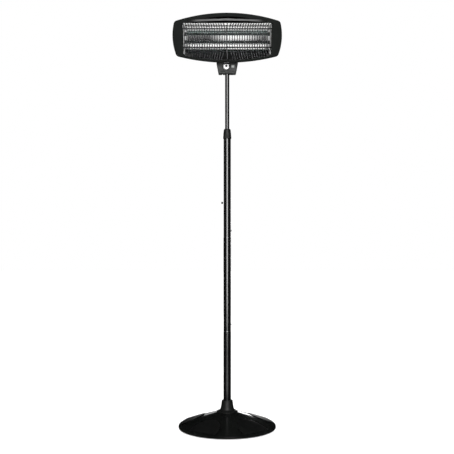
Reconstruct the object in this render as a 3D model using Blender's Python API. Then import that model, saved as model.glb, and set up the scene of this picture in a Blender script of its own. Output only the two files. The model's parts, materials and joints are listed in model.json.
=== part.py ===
"""Free-standing outdoor quartz heater.

A weighted round base carries a three-piece stand. A thinner mast slides and swivels in the stand under a
twist collar. On the mast sits a clamp bracket with the pull-cord switch, and in the bracket the heater head
tilts on a barrel. The front faces -Y, +X is to the right, and Z = 0 is the floor.
"""

import math

import bmesh
import bpy
from mathutils import Euler, Vector

# ------------------------------------------------------------------ driving dimensions, in metres
GAP = 0.0003                       # left between pieces that touch
ROUND = 24                         # sides of an ordinary turned piece

# Base
BASE_RADIUS = 0.2345
BASE_RIM_BOTTOM = 0.0040
BASE_RIM_TOP = 0.0168
BASE_LIP_RADIUS = 0.2305           # inside of the rim
BASE_LIP_TOP = 0.0125
BASE_SHOULDER_RADIUS = 0.2325
BASE_SLOPE = 0.3385                # rise of the dome per metre towards the middle
BASE_CROWN = 0.0020
BASE_HOLE_RADIUS = 0.0225
BASE_SKIN = 0.0030
BASE_SEGMENTS = 44
PAD_AZIMUTHS = [-33.0, 39.0, 111.0, 183.0, 255.0]   # degrees from the front, towards +X
PAD_INNER_RADIUS = 0.114
PAD_OUTER_RADIUS = 0.2225
PAD_HALF_WIDTH = 0.076
PAD_STEP = 0.0035
FOOT_RADIUS = 0.0130
FOOT_HEIGHT = 0.0060
FOOT_CIRCLE = 0.190
PLATE_RADIUS = 0.2220
PLATE_THICKNESS = 0.0016
SPIGOT_TOP = 0.114
WEIGHT_RADIUS = 0.205
WEIGHT_BORE = 0.046
WEIGHT_THICKNESS = 0.0098

# Stand tubes
TUBE_WALL = 0.0012
LOWER_RADIUS = 0.01835
MIDDLE_RADIUS = 0.0180
UPPER_RADIUS = 0.0174
LOWER_JOINT_Z = 0.468
UPPER_JOINT_Z = 0.920
UPPER_TUBE_TOP = 1.405
SLEEVE_RADIUS = 0.01585
SLEEVE_HALF_LENGTH = 0.055
SCREW_ABOVE_JOINT = 0.032
SCREW_RADIUS = 0.0021

# Twist collar and mast
COLLAR_BOTTOM = 1.3955
COLLAR_TOP = 1.4435
COLLET_BOTTOM = 1.3800
COLLET_TOP = 1.4320
COLLET_RADIUS = 0.0170
MAST_RADIUS = 0.01025
MAST_BOTTOM = 1.245
MAST_TOP = 1.733

# Clamp bracket
BRACKET_BOTTOM = 1.7080
BRACKET_TOP = 1.7635
BRACKET_HALF_BOTTOM = 0.0415
BRACKET_HALF_TOP = 0.0522
BRACKET_FRONT = -0.0180
BRACKET_BACK = 0.0260
BRACKET_WALL = 0.0025
SPLIT_Y = 0.0040                   # plane where the two bracket shells meet
KNUCKLE_RADIUS = 0.0180
KNUCKLE_HALF = 0.0220
RIB_HALF = 0.0205
BOSS_RADIUS = 0.0075
SOCKET_RADIUS = 0.0143
BARREL_RADIUS = 0.0100
BARREL_HALF = 0.0345
BARREL_FOOT_HALF = 0.0460
LUG_RADIUS = 0.0130
LUG_INNER = 0.0235
BRACKET_SCREW_X = 0.0415
BRACKET_SCREW_Z = 1.7490
BOLT_X = -0.0043
BOLT_Z = 1.7445
BOLT_RADIUS = 0.0030
KNOB_RADIUS = 0.0175
KNOB_HEIGHT = 0.0170
KNOB_BORE_END = 0.0386
CORD_X = -0.0225
CORD_Y = -0.0115
CORD_RADIUS = 0.0010
CORD_STEP = 0.0083
BUSH_HOLE_RADIUS = 0.0034
BUSH_RADIUS = 0.0042
SWITCH_LOW = (-0.0365, -0.0150, 1.7118)
SWITCH_HIGH = (-0.0160, 0.0030, 1.7318)
SWITCH_CHAMBER_RADIUS = 0.0028
PLUNGER_TOP = 1.7262
BEAD_X = -0.0243
BEAD_Y = -0.0150
BEAD_HEIGHT = 0.0105
BEAD_RADIUS = 0.0046

# Head: u runs along +X, back away from the front rim, up along the face
TILT_AXIS_Y = 0.0040
TILT_AXIS_Z = 1.7700
HEAD_TILT = math.radians(13.0)
FACE_FORWARD = 0.0586              # from the tilt axis to the plane of the front rim
FACE_RISE = 0.1107                 # from the tilt axis to the middle of the face
HEAD_HALF_WIDTH = 0.2597
HEAD_UP = 0.1168
HEAD_DOWN = 0.1150
TOP_ARC_RADIUS = 0.8236
BOTTOM_ARC_RADIUS = 0.965
SIDE_ARC_RADIUS = 0.250
SIDE_ARC_CENTRE = 0.0100
CORNER_REACH = 0.010
BEZEL_DEPTH = 0.0200
BEZEL_FACE = 0.0040
BEZEL_SKIN = 0.0028
HOUSING_SKIN = 0.0014
VENT_COUNT = 10
VENT_PITCH = 0.034
VENT_WIDTH = 0.005
VENT_LOW = 0.010
VENT_HIGH = 0.044
GLAND_U = 0.150
GLAND_V = -0.020
GLAND_NECK = 0.0075
GLAND_BORE = 0.0040
RECESS_HALF = 0.110
RECESS_HEIGHT = 0.0915
WINDOW_TOP = 0.0690
WINDOW_HALF_TOP = 0.2150
WINDOW_HALF = 0.2085
WINDOW_KNEE = 0.0300
WINDOW_SIDE_END = -0.0720
WINDOW_CORNER = (0.2000, -0.0835)
WINDOW_BOTTOM = -0.1020
WINDOW_WALL_DEPTH = 0.0135
GUARD_PITCH = 0.0119
GUARD_WIRES_EACH_SIDE = 17
GUARD_WIRE_HALF = 0.0013
GUARD_DEPTH = 0.0158
GUARD_RAIL_DEPTH = 0.0180
GUARD_KNEE = 0.0430
GUARD_LEAN = math.tan(math.radians(15.0))
TUBE_ROWS = [0.0185, -0.0191, -0.0586]
TUBE_DEPTH = 0.0360
QUARTZ_RADIUS = 0.0065
QUARTZ_WALL = 0.0011
QUARTZ_HALF = 0.2040
COIL_RADIUS = 0.0044
CAP_INNER_END = 0.1985
CAP_OUTER_END = 0.2225
CAP_RADIUS = 0.0088
CAP_BORE = 0.0012
REFLECTOR_FRONT = 0.0200
REFLECTOR_BACK = 0.0500
REFLECTOR_HALF = 0.1985
REFLECTOR_BEND_TOP = 0.0360
REFLECTOR_BEND_BOTTOM = -0.0640
SHEET = 0.0006
BLOCK_LOW = (0.2265, 0.0260, -0.0200)
BLOCK_HIGH = (0.2420, 0.0390, 0.0300)
HOUSING_BACK = 0.0640
HOUSING_SCREW_U = 0.205
HOUSING_SCREW_HIGH = 0.052
HOUSING_SCREW_LOW = -0.048


# ------------------------------------------------------------------ scene and materials
def clear_scene():
    for obj in list(bpy.data.objects):
        bpy.data.objects.remove(obj, do_unlink=True)


def make_material(name, colour, roughness, metallic=0.0, alpha=1.0):
    material = bpy.data.materials.new(name)
    material.use_nodes = True
    shader = material.node_tree.nodes["Principled BSDF"]
    shader.inputs["Base Color"].default_value = (*colour, 1.0)
    shader.inputs["Roughness"].default_value = roughness
    shader.inputs["Metallic"].default_value = metallic
    shader.inputs["Alpha"].default_value = alpha
    material.diffuse_color = (*colour, alpha)
    return material


def make_materials():
    return {
        "gloss_black": make_material("gloss_black", (0.020, 0.021, 0.021), 0.25),
        "satin_black": make_material("satin_black", (0.035, 0.037, 0.036), 0.45),
        "painted_steel": make_material("painted_steel", (0.030, 0.031, 0.031), 0.42),
        "charcoal": make_material("charcoal", (0.075, 0.080, 0.078), 0.50),
        "painted_tube": make_material("painted_tube", (0.018, 0.018, 0.018), 0.28),
        "bare_steel": make_material("bare_steel", (0.55, 0.55, 0.56), 0.35, 1.0),
        "chrome": make_material("chrome", (0.82, 0.82, 0.83), 0.12, 1.0),
        "mirror_sheet": make_material("mirror_sheet", (0.88, 0.88, 0.87), 0.18, 1.0),
        "cast_iron": make_material("cast_iron", (0.10, 0.10, 0.10), 0.70, 0.6),
        "rubber": make_material("rubber", (0.02, 0.02, 0.02), 0.85),
        "quartz": make_material("quartz", (0.80, 0.82, 0.82), 0.12, 0.0, 0.45),
        "heating_wire": make_material("heating_wire", (0.22, 0.20, 0.19), 0.45, 1.0),
        "ceramic": make_material("ceramic", (0.62, 0.60, 0.55), 0.60),
        "white_nylon": make_material("white_nylon", (0.85, 0.85, 0.84), 0.55),
    }


def make_empty(name, location=(0, 0, 0), parent=None, tilt=0.0):
    obj = bpy.data.objects.new(name, None)
    obj.location = location
    obj.rotation_euler = (tilt, 0, 0)
    obj.parent = parent
    bpy.context.scene.collection.objects.link(obj)
    return obj


# ------------------------------------------------------------------ solids
def add_solid(name, bm, material, parent=None, location=(0, 0, 0), rotation=(0, 0, 0), smooth_angle=32.0):
    """Turn a closed bmesh into a scene object with outward faces and its origin in its own middle."""
    low = Vector([min(vert.co[axis] for vert in bm.verts) for axis in range(3)])
    high = Vector([max(vert.co[axis] for vert in bm.verts) for axis in range(3)])
    middle = (low + high) / 2
    bmesh.ops.translate(bm, verts=bm.verts, vec=-middle)
    bmesh.ops.recalc_face_normals(bm, faces=bm.faces)
    location = Vector(location) + Euler(rotation).to_matrix() @ middle
    mesh = bpy.data.meshes.new(name)
    bm.to_mesh(mesh)
    bm.free()
    mesh.shade_smooth()
    mesh.set_sharp_from_angle(angle=math.radians(smooth_angle))
    mesh.materials.append(material)
    return place_mesh(name, mesh, parent, location, rotation)


def place_mesh(name, mesh, parent=None, location=(0, 0, 0), rotation=(0, 0, 0)):
    obj = bpy.data.objects.new(name, mesh)
    obj.location = location
    obj.rotation_euler = rotation
    obj.parent = parent
    bpy.context.scene.collection.objects.link(obj)
    return obj


def bridge(bm, ring, next_ring):
    """Join two loops of vertices with faces; a loop of one vertex is a point on the axis."""
    count = max(len(ring), len(next_ring))
    for index in range(count if count > 1 else 0):
        after = (index + 1) % count
        corners = [ring[index % len(ring)], ring[after % len(ring)]]
        corners += [next_ring[after % len(next_ring)], next_ring[index % len(next_ring)]]
        bm.faces.new(list(dict.fromkeys(corners)))


AXIS_TURN = {"X": (0, math.pi / 2, 0), "Y": (-math.pi / 2, 0, 0), "Z": (0, 0, 0)}


def turned(name, profile, material, parent=None, location=(0, 0, 0), along="Z", sides=ROUND, ripple=None):
    """Turn a closed profile of (radius, height) points about an axis along X, Y or Z."""
    bm = bmesh.new()
    rings = []
    for radius, height in profile:
        ring = []
        for step in range(sides if radius > 0 else 1):
            angle = 2 * math.pi * step / sides
            reach = radius + (ripple(radius, angle) if ripple else 0.0)
            ring.append(bm.verts.new((reach * math.cos(angle), reach * math.sin(angle), height)))
        rings.append(ring)
    for ring, next_ring in zip(rings, rings[1:] + rings[:1]):
        bridge(bm, ring, next_ring)
    return add_solid(name, bm, material, parent, location, AXIS_TURN[along])


def rod(radius, start, end):
    """Profile of a plain round rod."""
    return [(0, start), (radius, start), (radius, end), (0, end)]


def sleeve_profile(bore, radius, start, end):
    """Profile of a plain ring or sleeve."""
    return [(bore, start), (radius, start), (radius, end), (bore, end)]


def prism(name, outline, start, end, material, parent=None, along="Y", location=(0, 0, 0)):
    """Extrude an outline: (x, z) points along Y, or (y, z) points along X."""
    bm = bmesh.new()
    loops = []
    for depth in (start, end):
        if along == "Y":
            loops.append([bm.verts.new((a, depth, b)) for a, b in outline])
        else:
            loops.append([bm.verts.new((depth, a, b)) for a, b in outline])
    bridge(bm, *loops)
    for loop in loops:
        bm.faces.new(loop)
    return add_solid(name, bm, material, parent, location)


def box(name, low, high, material, parent=None):
    outline = [(low[0], low[2]), (high[0], low[2]), (high[0], high[2]), (low[0], high[2])]
    return prism(name, outline, low[1], high[1], material, parent)


def combine(target, other, operation, solver="EXACT"):
    """Apply another object to the target and keep that object out of the model."""
    modifier = target.modifiers.new(f"{operation.lower()}_{other.name}", "BOOLEAN")
    modifier.operation = operation
    modifier.object = other
    modifier.solver = solver
    other.hide_render = True
    other.display_type = "WIRE"


def soften(target, width, segments=2, angle=35.0):
    modifier = target.modifiers.new("soften", "BEVEL")
    modifier.width = width
    modifier.segments = segments
    modifier.limit_method = "ANGLE"
    modifier.angle_limit = math.radians(angle)


def thicken(target, thickness):
    modifier = target.modifiers.new("thicken", "SOLIDIFY")
    modifier.thickness = thickness
    modifier.offset = -1.0
    modifier.use_even_offset = True


# ------------------------------------------------------------------ base
def dome_height(radius):
    """Height of the base's upper skin at a radius."""
    along = (BASE_SHOULDER_RADIUS - radius) / (BASE_SHOULDER_RADIUS - BASE_HOLE_RADIUS)
    crown = BASE_CROWN * math.sin(math.pi * min(max(along, 0.0), 1.0))
    return BASE_RIM_TOP + (BASE_SHOULDER_RADIUS - radius) * BASE_SLOPE + crown


def base_cover(materials):
    steps = 4
    radii = evenly(BASE_SHOULDER_RADIUS, BASE_HOLE_RADIUS, steps)
    outside = [(BASE_LIP_RADIUS, BASE_RIM_BOTTOM), (BASE_RADIUS - 0.0007, BASE_RIM_BOTTOM + 0.0012)]
    outside += [(BASE_RADIUS, BASE_RIM_BOTTOM + 0.0040), (BASE_RADIUS, BASE_LIP_TOP)]
    outside += [(radius, dome_height(radius)) for radius in radii]
    inside = [(radius, dome_height(radius) - BASE_SKIN) for radius in reversed(radii[1:])]
    inside += [(BASE_LIP_RADIUS, BASE_LIP_TOP), (BASE_LIP_RADIUS - 0.0020, BASE_RIM_BOTTOM)]
    cover = turned("base_cover", outside + inside, materials["gloss_black"], sides=BASE_SEGMENTS)
    for number, azimuth in enumerate(PAD_AZIMUTHS, 1):
        combine(cover, base_pad(f"pad_{number}", math.radians(azimuth), materials), "UNION")
    return cover


def base_pad(name, azimuth, materials):
    """A raised arch-shaped pad that follows the dome."""
    rows = 5
    columns = 4
    bm = bmesh.new()
    layers = []
    for lift in (PAD_STEP, -0.5 * BASE_SKIN):
        grid = []
        for row in range(rows + 1):
            angle = math.pi / 2 * row / rows
            radial = PAD_OUTER_RADIUS - (PAD_OUTER_RADIUS - PAD_INNER_RADIUS) * math.sin(angle)
            half = max(PAD_HALF_WIDTH * math.cos(angle), 0.004)
            line = []
            for column in range(columns + 1):
                side = half * (2 * column / columns - 1)
                outward = math.sqrt(max(radial ** 2 - 0.35 * side ** 2, 0.0))
                reach = math.hypot(outward, side)
                turn = azimuth + math.atan2(side, outward)
                height = dome_height(reach) + lift
                line.append(bm.verts.new((reach * math.sin(turn), -reach * math.cos(turn), height)))
            grid.append(line)
        layers.append(grid)
    for grid in layers:
        for line, next_line in zip(grid, grid[1:]):
            for column in range(columns):
                near = (line[column], line[column + 1])
                far = (next_line[column + 1], next_line[column])
                bm.faces.new(near + far)
    rims = [pad_rim(grid) for grid in layers]
    bridge(bm, *rims)
    return add_solid(name, bm, materials["gloss_black"])


def pad_rim(grid):
    left = [line[0] for line in grid[1:]]
    right = [line[-1] for line in reversed(grid[:-1])]
    return grid[0][:1] + left + grid[-1][1:] + right[:-1] + list(reversed(grid[0][1:]))


def base_inside(materials):
    plate_bottom = FOOT_HEIGHT + GAP
    plate_top = plate_bottom + PLATE_THICKNESS
    weight_bottom = plate_top + GAP
    hole = 0.0045
    plate = sleeve_profile(hole, PLATE_RADIUS, plate_bottom, plate_top)
    turned("base_plate", plate, materials["bare_steel"], sides=BASE_SEGMENTS)
    weight_top = weight_bottom + WEIGHT_THICKNESS
    weight = [
        (WEIGHT_BORE, weight_bottom), (WEIGHT_RADIUS, weight_bottom), (WEIGHT_RADIUS, weight_top - 0.002),
        (WEIGHT_RADIUS - 0.002, weight_top), (WEIGHT_BORE + 0.014, weight_top),
        (WEIGHT_BORE + 0.012, weight_top + 0.006), (WEIGHT_BORE, weight_top + 0.006),
    ]
    turned("base_weight", weight, materials["cast_iron"], sides=32)
    spigot = LOWER_RADIUS - TUBE_WALL - GAP
    flange_top = weight_bottom + 0.003
    socket = [
        (hole, weight_bottom), (0.042, weight_bottom), (0.042, flange_top), (spigot, flange_top),
        (spigot, SPIGOT_TOP - 0.001), (spigot - 0.001, SPIGOT_TOP), (spigot - 0.002, SPIGOT_TOP),
        (spigot - 0.002, 0.018), (hole, 0.018),
    ]
    turned("post_socket", socket, materials["bare_steel"], sides=20)
    shank = 0.0040
    head = [(0, 0.0016), (0.0068, 0.0016), (0.0075, 0.0024), (0.0075, FOOT_HEIGHT), (shank, FOOT_HEIGHT)]
    bolt = head + [(shank, 0.0235), (shank - 0.0008, 0.0245), (0, 0.0245)]
    turned("base_bolt", bolt, materials["bare_steel"], sides=24)


def base_feet(materials):
    foot = [
        (0, 0), (FOOT_RADIUS - 0.0015, 0), (FOOT_RADIUS, 0.0015), (FOOT_RADIUS - 0.001, FOOT_HEIGHT),
        (0, FOOT_HEIGHT),
    ]
    for number, azimuth in enumerate(PAD_AZIMUTHS, 1):
        angle = math.radians(azimuth)
        place = (FOOT_CIRCLE * math.sin(angle), -FOOT_CIRCLE * math.cos(angle), 0)
        turned(f"base_foot_{number}", foot, materials["rubber"], location=place, sides=16)


def base_collar(materials):
    bore = LOWER_RADIUS + GAP
    outside = [
        (bore, 0.1350), (0.0235, 0.1348), (0.0258, 0.1335), (0.0268, 0.1305), (0.0290, 0.1130),
        (0.0316, 0.0980), (0.0345, 0.0900), (0.0400, 0.0862), (0.0500, 0.0828), (0.0512, 0.0810),
    ]
    seat = [(0.0505, dome_height(0.0505) + GAP), (0.0440, dome_height(0.0440) + GAP)]
    inside = [(0.0325, 0.0885), (0.0290, 0.0980), (0.0260, 0.1130), (0.0235, 0.1300), (bore, 0.1318)]
    turned("base_collar", outside + seat + inside, materials["satin_black"])


# ------------------------------------------------------------------ stand
def stand_tube(name, radius, bottom, top, materials):
    bore = radius - TUBE_WALL
    edge = 0.0005
    profile = [
        (bore, bottom), (radius - edge, bottom), (radius, bottom + 2 * edge), (radius, top - 2 * edge),
        (radius - edge, top), (bore, top),
    ]
    return turned(name, profile, materials["painted_tube"])


def stand(materials):
    half_groove = 0.0004
    tubes = [
        stand_tube("lower_tube", LOWER_RADIUS, 0.0120, LOWER_JOINT_Z - half_groove, materials),
        stand_tube("middle_tube", MIDDLE_RADIUS, LOWER_JOINT_Z + half_groove, UPPER_JOINT_Z - half_groove,
                   materials),
        stand_tube("upper_tube", UPPER_RADIUS, UPPER_JOINT_Z + half_groove, UPPER_TUBE_TOP, materials),
    ]
    for name, joint_z, upper in (("lower", LOWER_JOINT_Z, tubes[1]), ("upper", UPPER_JOINT_Z, tubes[2])):
        ring = sleeve_profile(SLEEVE_RADIUS - TUBE_WALL, SLEEVE_RADIUS, joint_z - SLEEVE_HALF_LENGTH,
                              joint_z + SLEEVE_HALF_LENGTH)
        sleeve = turned(f"joint_sleeve_{name}", ring, materials["bare_steel"])
        screw_z = joint_z + SCREW_ABOVE_JOINT
        surface = MIDDLE_RADIUS if name == "lower" else UPPER_RADIUS
        screw = [
            (0, 0.0125), (SCREW_RADIUS, 0.0125), (SCREW_RADIUS, surface + GAP), (0.0042, surface + GAP),
            (0.0042, surface + 0.0018), (0.0030, surface + 0.0034), (0.0012, surface + 0.0040),
            (0, surface + 0.0040),
        ]
        line = (0, 0, screw_z)
        turned(f"joint_screw_{name}", screw, materials["bare_steel"], None, line, "X", 18)
        hole = rod(SCREW_RADIUS + GAP, 0.010, 0.025)
        for target in (sleeve, upper):
            cutter = turned(f"screw_hole_{target.name}", hole, materials["bare_steel"], None, line, "X", 18)
            combine(target, cutter, "DIFFERENCE")
    bore = MAST_RADIUS + GAP
    plug = UPPER_RADIUS - TUBE_WALL - GAP
    collet = [
        (bore, COLLET_BOTTOM), (plug, COLLET_BOTTOM), (plug, UPPER_TUBE_TOP + GAP),
        (COLLET_RADIUS, UPPER_TUBE_TOP + GAP), (COLLET_RADIUS, UPPER_TUBE_TOP + 0.0030),
        (0.0150, UPPER_TUBE_TOP + 0.0040), (0.0134, COLLET_TOP), (bore, COLLET_TOP),
    ]
    turned("collet", collet, materials["white_nylon"])


def twist_collar(materials, parent):
    bore = MAST_RADIUS + 0.0005
    tube_bore = UPPER_RADIUS + GAP
    outside = [
        (0.0190, COLLAR_BOTTOM), (0.0199, COLLAR_BOTTOM + 0.0015), (0.0199, 1.4040), (0.0188, 1.4180),
        (0.0168, 1.4365), (0.0150, 1.4420), (0.0128, COLLAR_TOP), (bore, COLLAR_TOP),
    ]
    inside = [(bore, 1.4400), (0.0140, 1.4360), (0.0155, 1.4100), (tube_bore, 1.4100)]
    inside += [(tube_bore, COLLAR_BOTTOM)]
    turned("lock_collar", outside + inside, materials["satin_black"], parent)


def mast_guide(materials, parent):
    slide_radius = UPPER_RADIUS - TUBE_WALL - GAP
    plug = MAST_RADIUS - TUBE_WALL - GAP
    low = MAST_BOTTOM - 0.016
    profile = [
        (0.0055, low), (slide_radius, low), (slide_radius, MAST_BOTTOM - GAP), (plug, MAST_BOTTOM - GAP),
        (plug, MAST_BOTTOM + 0.016), (0.0055, MAST_BOTTOM + 0.016),
    ]
    turned("mast_guide", profile, materials["white_nylon"], parent)


# ------------------------------------------------------------------ mast and clamp bracket
def bracket_outline(inset, low, high):
    """Trapezoid of the bracket between two heights, narrowed by an inset."""
    outline = []
    for side, height in ((-1, low), (1, low), (1, high), (-1, high)):
        rise = (height - BRACKET_BOTTOM) / (BRACKET_TOP - BRACKET_BOTTOM)
        half = BRACKET_HALF_BOTTOM + (BRACKET_HALF_TOP - BRACKET_HALF_BOTTOM) * rise - inset
        outline.append((side * half, height))
    return outline


def bracket_shell(name, outside, toward, materials, parent):
    """One half of the bracket: a tray with the barrel's saddle, the bolt's boss and the mast's socket.

    It is modelled past the split plane first, and everything beyond the plane is cut off at the end.
    """
    plastic = materials["charcoal"]
    floor = outside + toward * BRACKET_WALL
    root = floor - toward * 0.0010
    past = SPLIT_Y + toward * 0.0030
    shell = prism(name, bracket_outline(0.0, BRACKET_BOTTOM, BRACKET_TOP), outside, past, plastic, parent)
    soften(shell, 0.0022)
    cavity = bracket_outline(BRACKET_WALL, BRACKET_BOTTOM + BRACKET_WALL, BRACKET_TOP - BRACKET_WALL)
    pocket = prism(f"{name}_pocket", cavity, floor, past + toward * 0.005, plastic, parent)
    combine(shell, pocket, "DIFFERENCE")
    slot_half = BARREL_HALF + 0.0020
    slot = box(f"{name}_slot", (-slot_half, floor + toward * 0.0002, BRACKET_TOP - 0.0080),
               (slot_half, past + toward * 0.006, BRACKET_TOP + 0.0040), plastic, parent)
    combine(shell, slot, "DIFFERENCE")

    axis = (0, TILT_AXIS_Y, TILT_AXIS_Z)
    bolt_line = (BOLT_X, 0, BOLT_Z)
    additions = [
        turned(f"{name}_knuckle", rod(KNUCKLE_RADIUS, -KNUCKLE_HALF, KNUCKLE_HALF), plastic, parent, axis, "X"),
        box(f"{name}_rib", (-RIB_HALF, root, BOLT_Z + 0.0030), (RIB_HALF, past, TILT_AXIS_Z - 0.0050), plastic,
            parent),
        turned(f"{name}_boss", rod(BOSS_RADIUS, root, past), plastic, parent, bolt_line, "Y", 24),
        turned(f"{name}_socket", rod(SOCKET_RADIUS, BRACKET_BOTTOM + 0.0010, MAST_TOP + 0.0025), plastic,
               parent),
    ]
    removals = [
        turned(f"{name}_barrel_hole", rod(BARREL_RADIUS + GAP, -0.03, 0.03), plastic, parent, axis, "X"),
        turned(f"{name}_mast_hole", rod(MAST_RADIUS + GAP, 1.69, MAST_TOP + 0.0006), plastic, parent),
        turned(f"{name}_bolt_hole", rod(BOLT_RADIUS + GAP, -0.05, 0.05), plastic, parent, bolt_line, "Y", 24),
    ]
    for side in (-1, 1):
        line = (side * BRACKET_SCREW_X, 0, BRACKET_SCREW_Z)
        post = rod(0.0040, root, past)
        bore = rod(0.0019, -0.0125, 0.04)
        additions.append(turned(f"{name}_post_{side}", post, plastic, parent, line, "Y", 12))
        removals.append(turned(f"{name}_bore_{side}", bore, plastic, parent, line, "Y", 12))
    removals.append(box(f"{name}_beyond", (-0.1, SPLIT_Y - toward * GAP, 1.6),
                        (0.1, SPLIT_Y + toward * 0.1, 1.9), plastic, parent))
    for addition in additions:
        combine(shell, addition, "UNION", "MANIFOLD")
    for removal in removals:
        combine(shell, removal, "DIFFERENCE", "MANIFOLD")
    return shell


def mast(materials, parent):
    tube = sleeve_profile(MAST_RADIUS - TUBE_WALL, MAST_RADIUS, MAST_BOTTOM, MAST_TOP)
    turned("mast_tube", tube, materials["painted_tube"], parent, sides=28)
    front = bracket_shell("bracket_front", BRACKET_FRONT, 1, materials, parent)
    bracket_shell("bracket_rear", BRACKET_BACK, -1, materials, parent)
    pull_switch(front, materials, parent)
    clamp_plate(materials, parent)
    head_front = BRACKET_FRONT - 0.0030
    bolt = [
        (0, head_front + 0.0018), (0.0024, head_front + 0.0018), (0.0026, head_front), (0.0050, head_front),
        (0.0050, BRACKET_FRONT - GAP), (BOLT_RADIUS, BRACKET_FRONT - GAP), (BOLT_RADIUS, 0.0380), (0, 0.0380),
    ]
    turned("clamp_bolt", bolt, materials["bare_steel"], parent, (BOLT_X, 0, BOLT_Z), "Y", 24)
    screw = [
        (0, -0.0115), (0.0016, -0.0115), (0.0016, BRACKET_BACK + GAP), (0.0034, BRACKET_BACK + GAP),
        (0.0032, BRACKET_BACK + 0.0018), (0.0015, BRACKET_BACK + 0.0024), (0, BRACKET_BACK + 0.0024),
    ]
    for name, side in (("left", -1), ("right", 1)):
        line = (side * BRACKET_SCREW_X, 0, BRACKET_SCREW_Z)
        turned(f"bracket_screw_{name}", screw, materials["bare_steel"], parent, line, "Y", 16)


def pull_switch(bracket, materials, parent):
    """The switch inside the bracket, and the bush in the bracket's underside that its cord runs through."""
    rubber = materials["satin_black"]
    line = (CORD_X, CORD_Y, 0)
    bush_low = BRACKET_BOTTOM - 0.0025
    bush_top = BRACKET_BOTTOM + 0.0032
    bush_hole = turned("bush_hole", rod(BUSH_HOLE_RADIUS, 1.70, BRACKET_BOTTOM + 0.0055), materials["charcoal"],
                       parent, line, sides=16)
    combine(bracket, bush_hole, "DIFFERENCE", "MANIFOLD")
    bore = CORD_RADIUS + 0.0004
    neck = BUSH_HOLE_RADIUS - GAP
    bush = [
        (bore, bush_low), (BUSH_HOLE_RADIUS, bush_low), (BUSH_RADIUS, bush_low + 0.0010),
        (BUSH_RADIUS, BRACKET_BOTTOM - GAP), (neck, BRACKET_BOTTOM - GAP), (neck, bush_top), (bore, bush_top),
    ]
    turned("cord_bush", bush, rubber, parent, line, sides=16)
    switch = box("switch_body", SWITCH_LOW, SWITCH_HIGH, rubber, parent)
    soften(switch, 0.0008, 1)
    chamber = rod(SWITCH_CHAMBER_RADIUS, 1.70, SWITCH_HIGH[2] - 0.0028)
    combine(switch, turned("switch_chamber", chamber, rubber, parent, line, sides=16), "DIFFERENCE")


def clamp_plate(materials, parent):
    """A bright plate under the bolt's head, round below and flat on top."""
    radius = 0.0160
    flat_top = BOLT_Z + 0.0215
    outline = []
    for step in range(17):
        angle = math.pi + math.pi * step / 16
        outline.append((BOLT_X + radius * math.cos(angle), BOLT_Z + radius * math.sin(angle)))
    outline += [(BOLT_X + radius, flat_top - 0.002), (BOLT_X + radius - 0.002, flat_top),
                (BOLT_X - radius + 0.002, flat_top), (BOLT_X - radius, flat_top - 0.002)]
    steel = materials["chrome"]
    plate = prism("clamp_plate", outline, BRACKET_FRONT - 0.0032, BRACKET_FRONT - GAP, steel, parent)
    soften(plate, 0.0007, 1)
    hole = turned("plate_hole", rod(0.0054, -0.05, 0.0), steel, parent, (BOLT_X, 0, BOLT_Z), "Y", 24)
    combine(plate, hole, "DIFFERENCE")


def tilt_knob(materials, parent):
    start = BRACKET_BACK + 0.0008
    lobe = 0.0016
    top = start + KNOB_HEIGHT
    bore = BOLT_RADIUS + GAP
    profile = [
        (bore, start), (0.0100, start), (0.0105, start + 0.004), (KNOB_RADIUS - 0.0005, start + 0.006),
        (KNOB_RADIUS, top - 0.0025), (KNOB_RADIUS - 0.0015, top), (0, top), (0, KNOB_BORE_END),
        (bore, KNOB_BORE_END),
    ]

    def lobes(radius, angle):
        return lobe * math.cos(6 * angle) - lobe if radius > 0.015 else 0.0

    turned("tilt_knob", profile, materials["satin_black"], parent, (0, 0, 0), "Y", 36, lobes)


def cord_path():
    """Points of the hanging pull cord, read from a smooth curve through its route."""
    route = [
        (CORD_X, CORD_Y, 1.7192), (CORD_X, CORD_Y, 1.7000), (-0.0224, -0.0117, 1.6500),
        (-0.0225, -0.0120, 1.6000), (-0.0227, -0.0124, 1.5500), (-0.0230, -0.0128, 1.5000),
        (-0.0235, -0.0132, 1.4500),
        (-0.0243, -0.0136, 1.4000), (-0.0253, -0.0140, 1.3500), (-0.0264, -0.0143, 1.3000),
        (-0.0274, -0.0146, 1.2500), (-0.0280, -0.0148, 1.2000), (-0.0279, -0.0149, 1.1600),
        (-0.0269, -0.0150, 1.1250), (-0.0254, -0.0150, 1.1040), (BEAD_X, BEAD_Y, 1.0920),
    ]
    knots = [Vector(point) for point in route]
    knots = [2 * knots[0] - knots[1]] + knots + [2 * knots[-1] - knots[-2]]
    path = []
    for index in range(1, len(knots) - 2):
        before, start, end, after = knots[index - 1:index + 3]
        pieces = max(2, round((end - start).length / CORD_STEP))
        for step in range(pieces):
            t = step / pieces
            bend = 2 * start + (end - before) * t + (2 * before - 5 * start + 4 * end - after) * t ** 2
            path.append(0.5 * (bend + (3 * start - before - 3 * end + after) * t ** 3))
    path.append(knots[-2])
    return path


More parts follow.
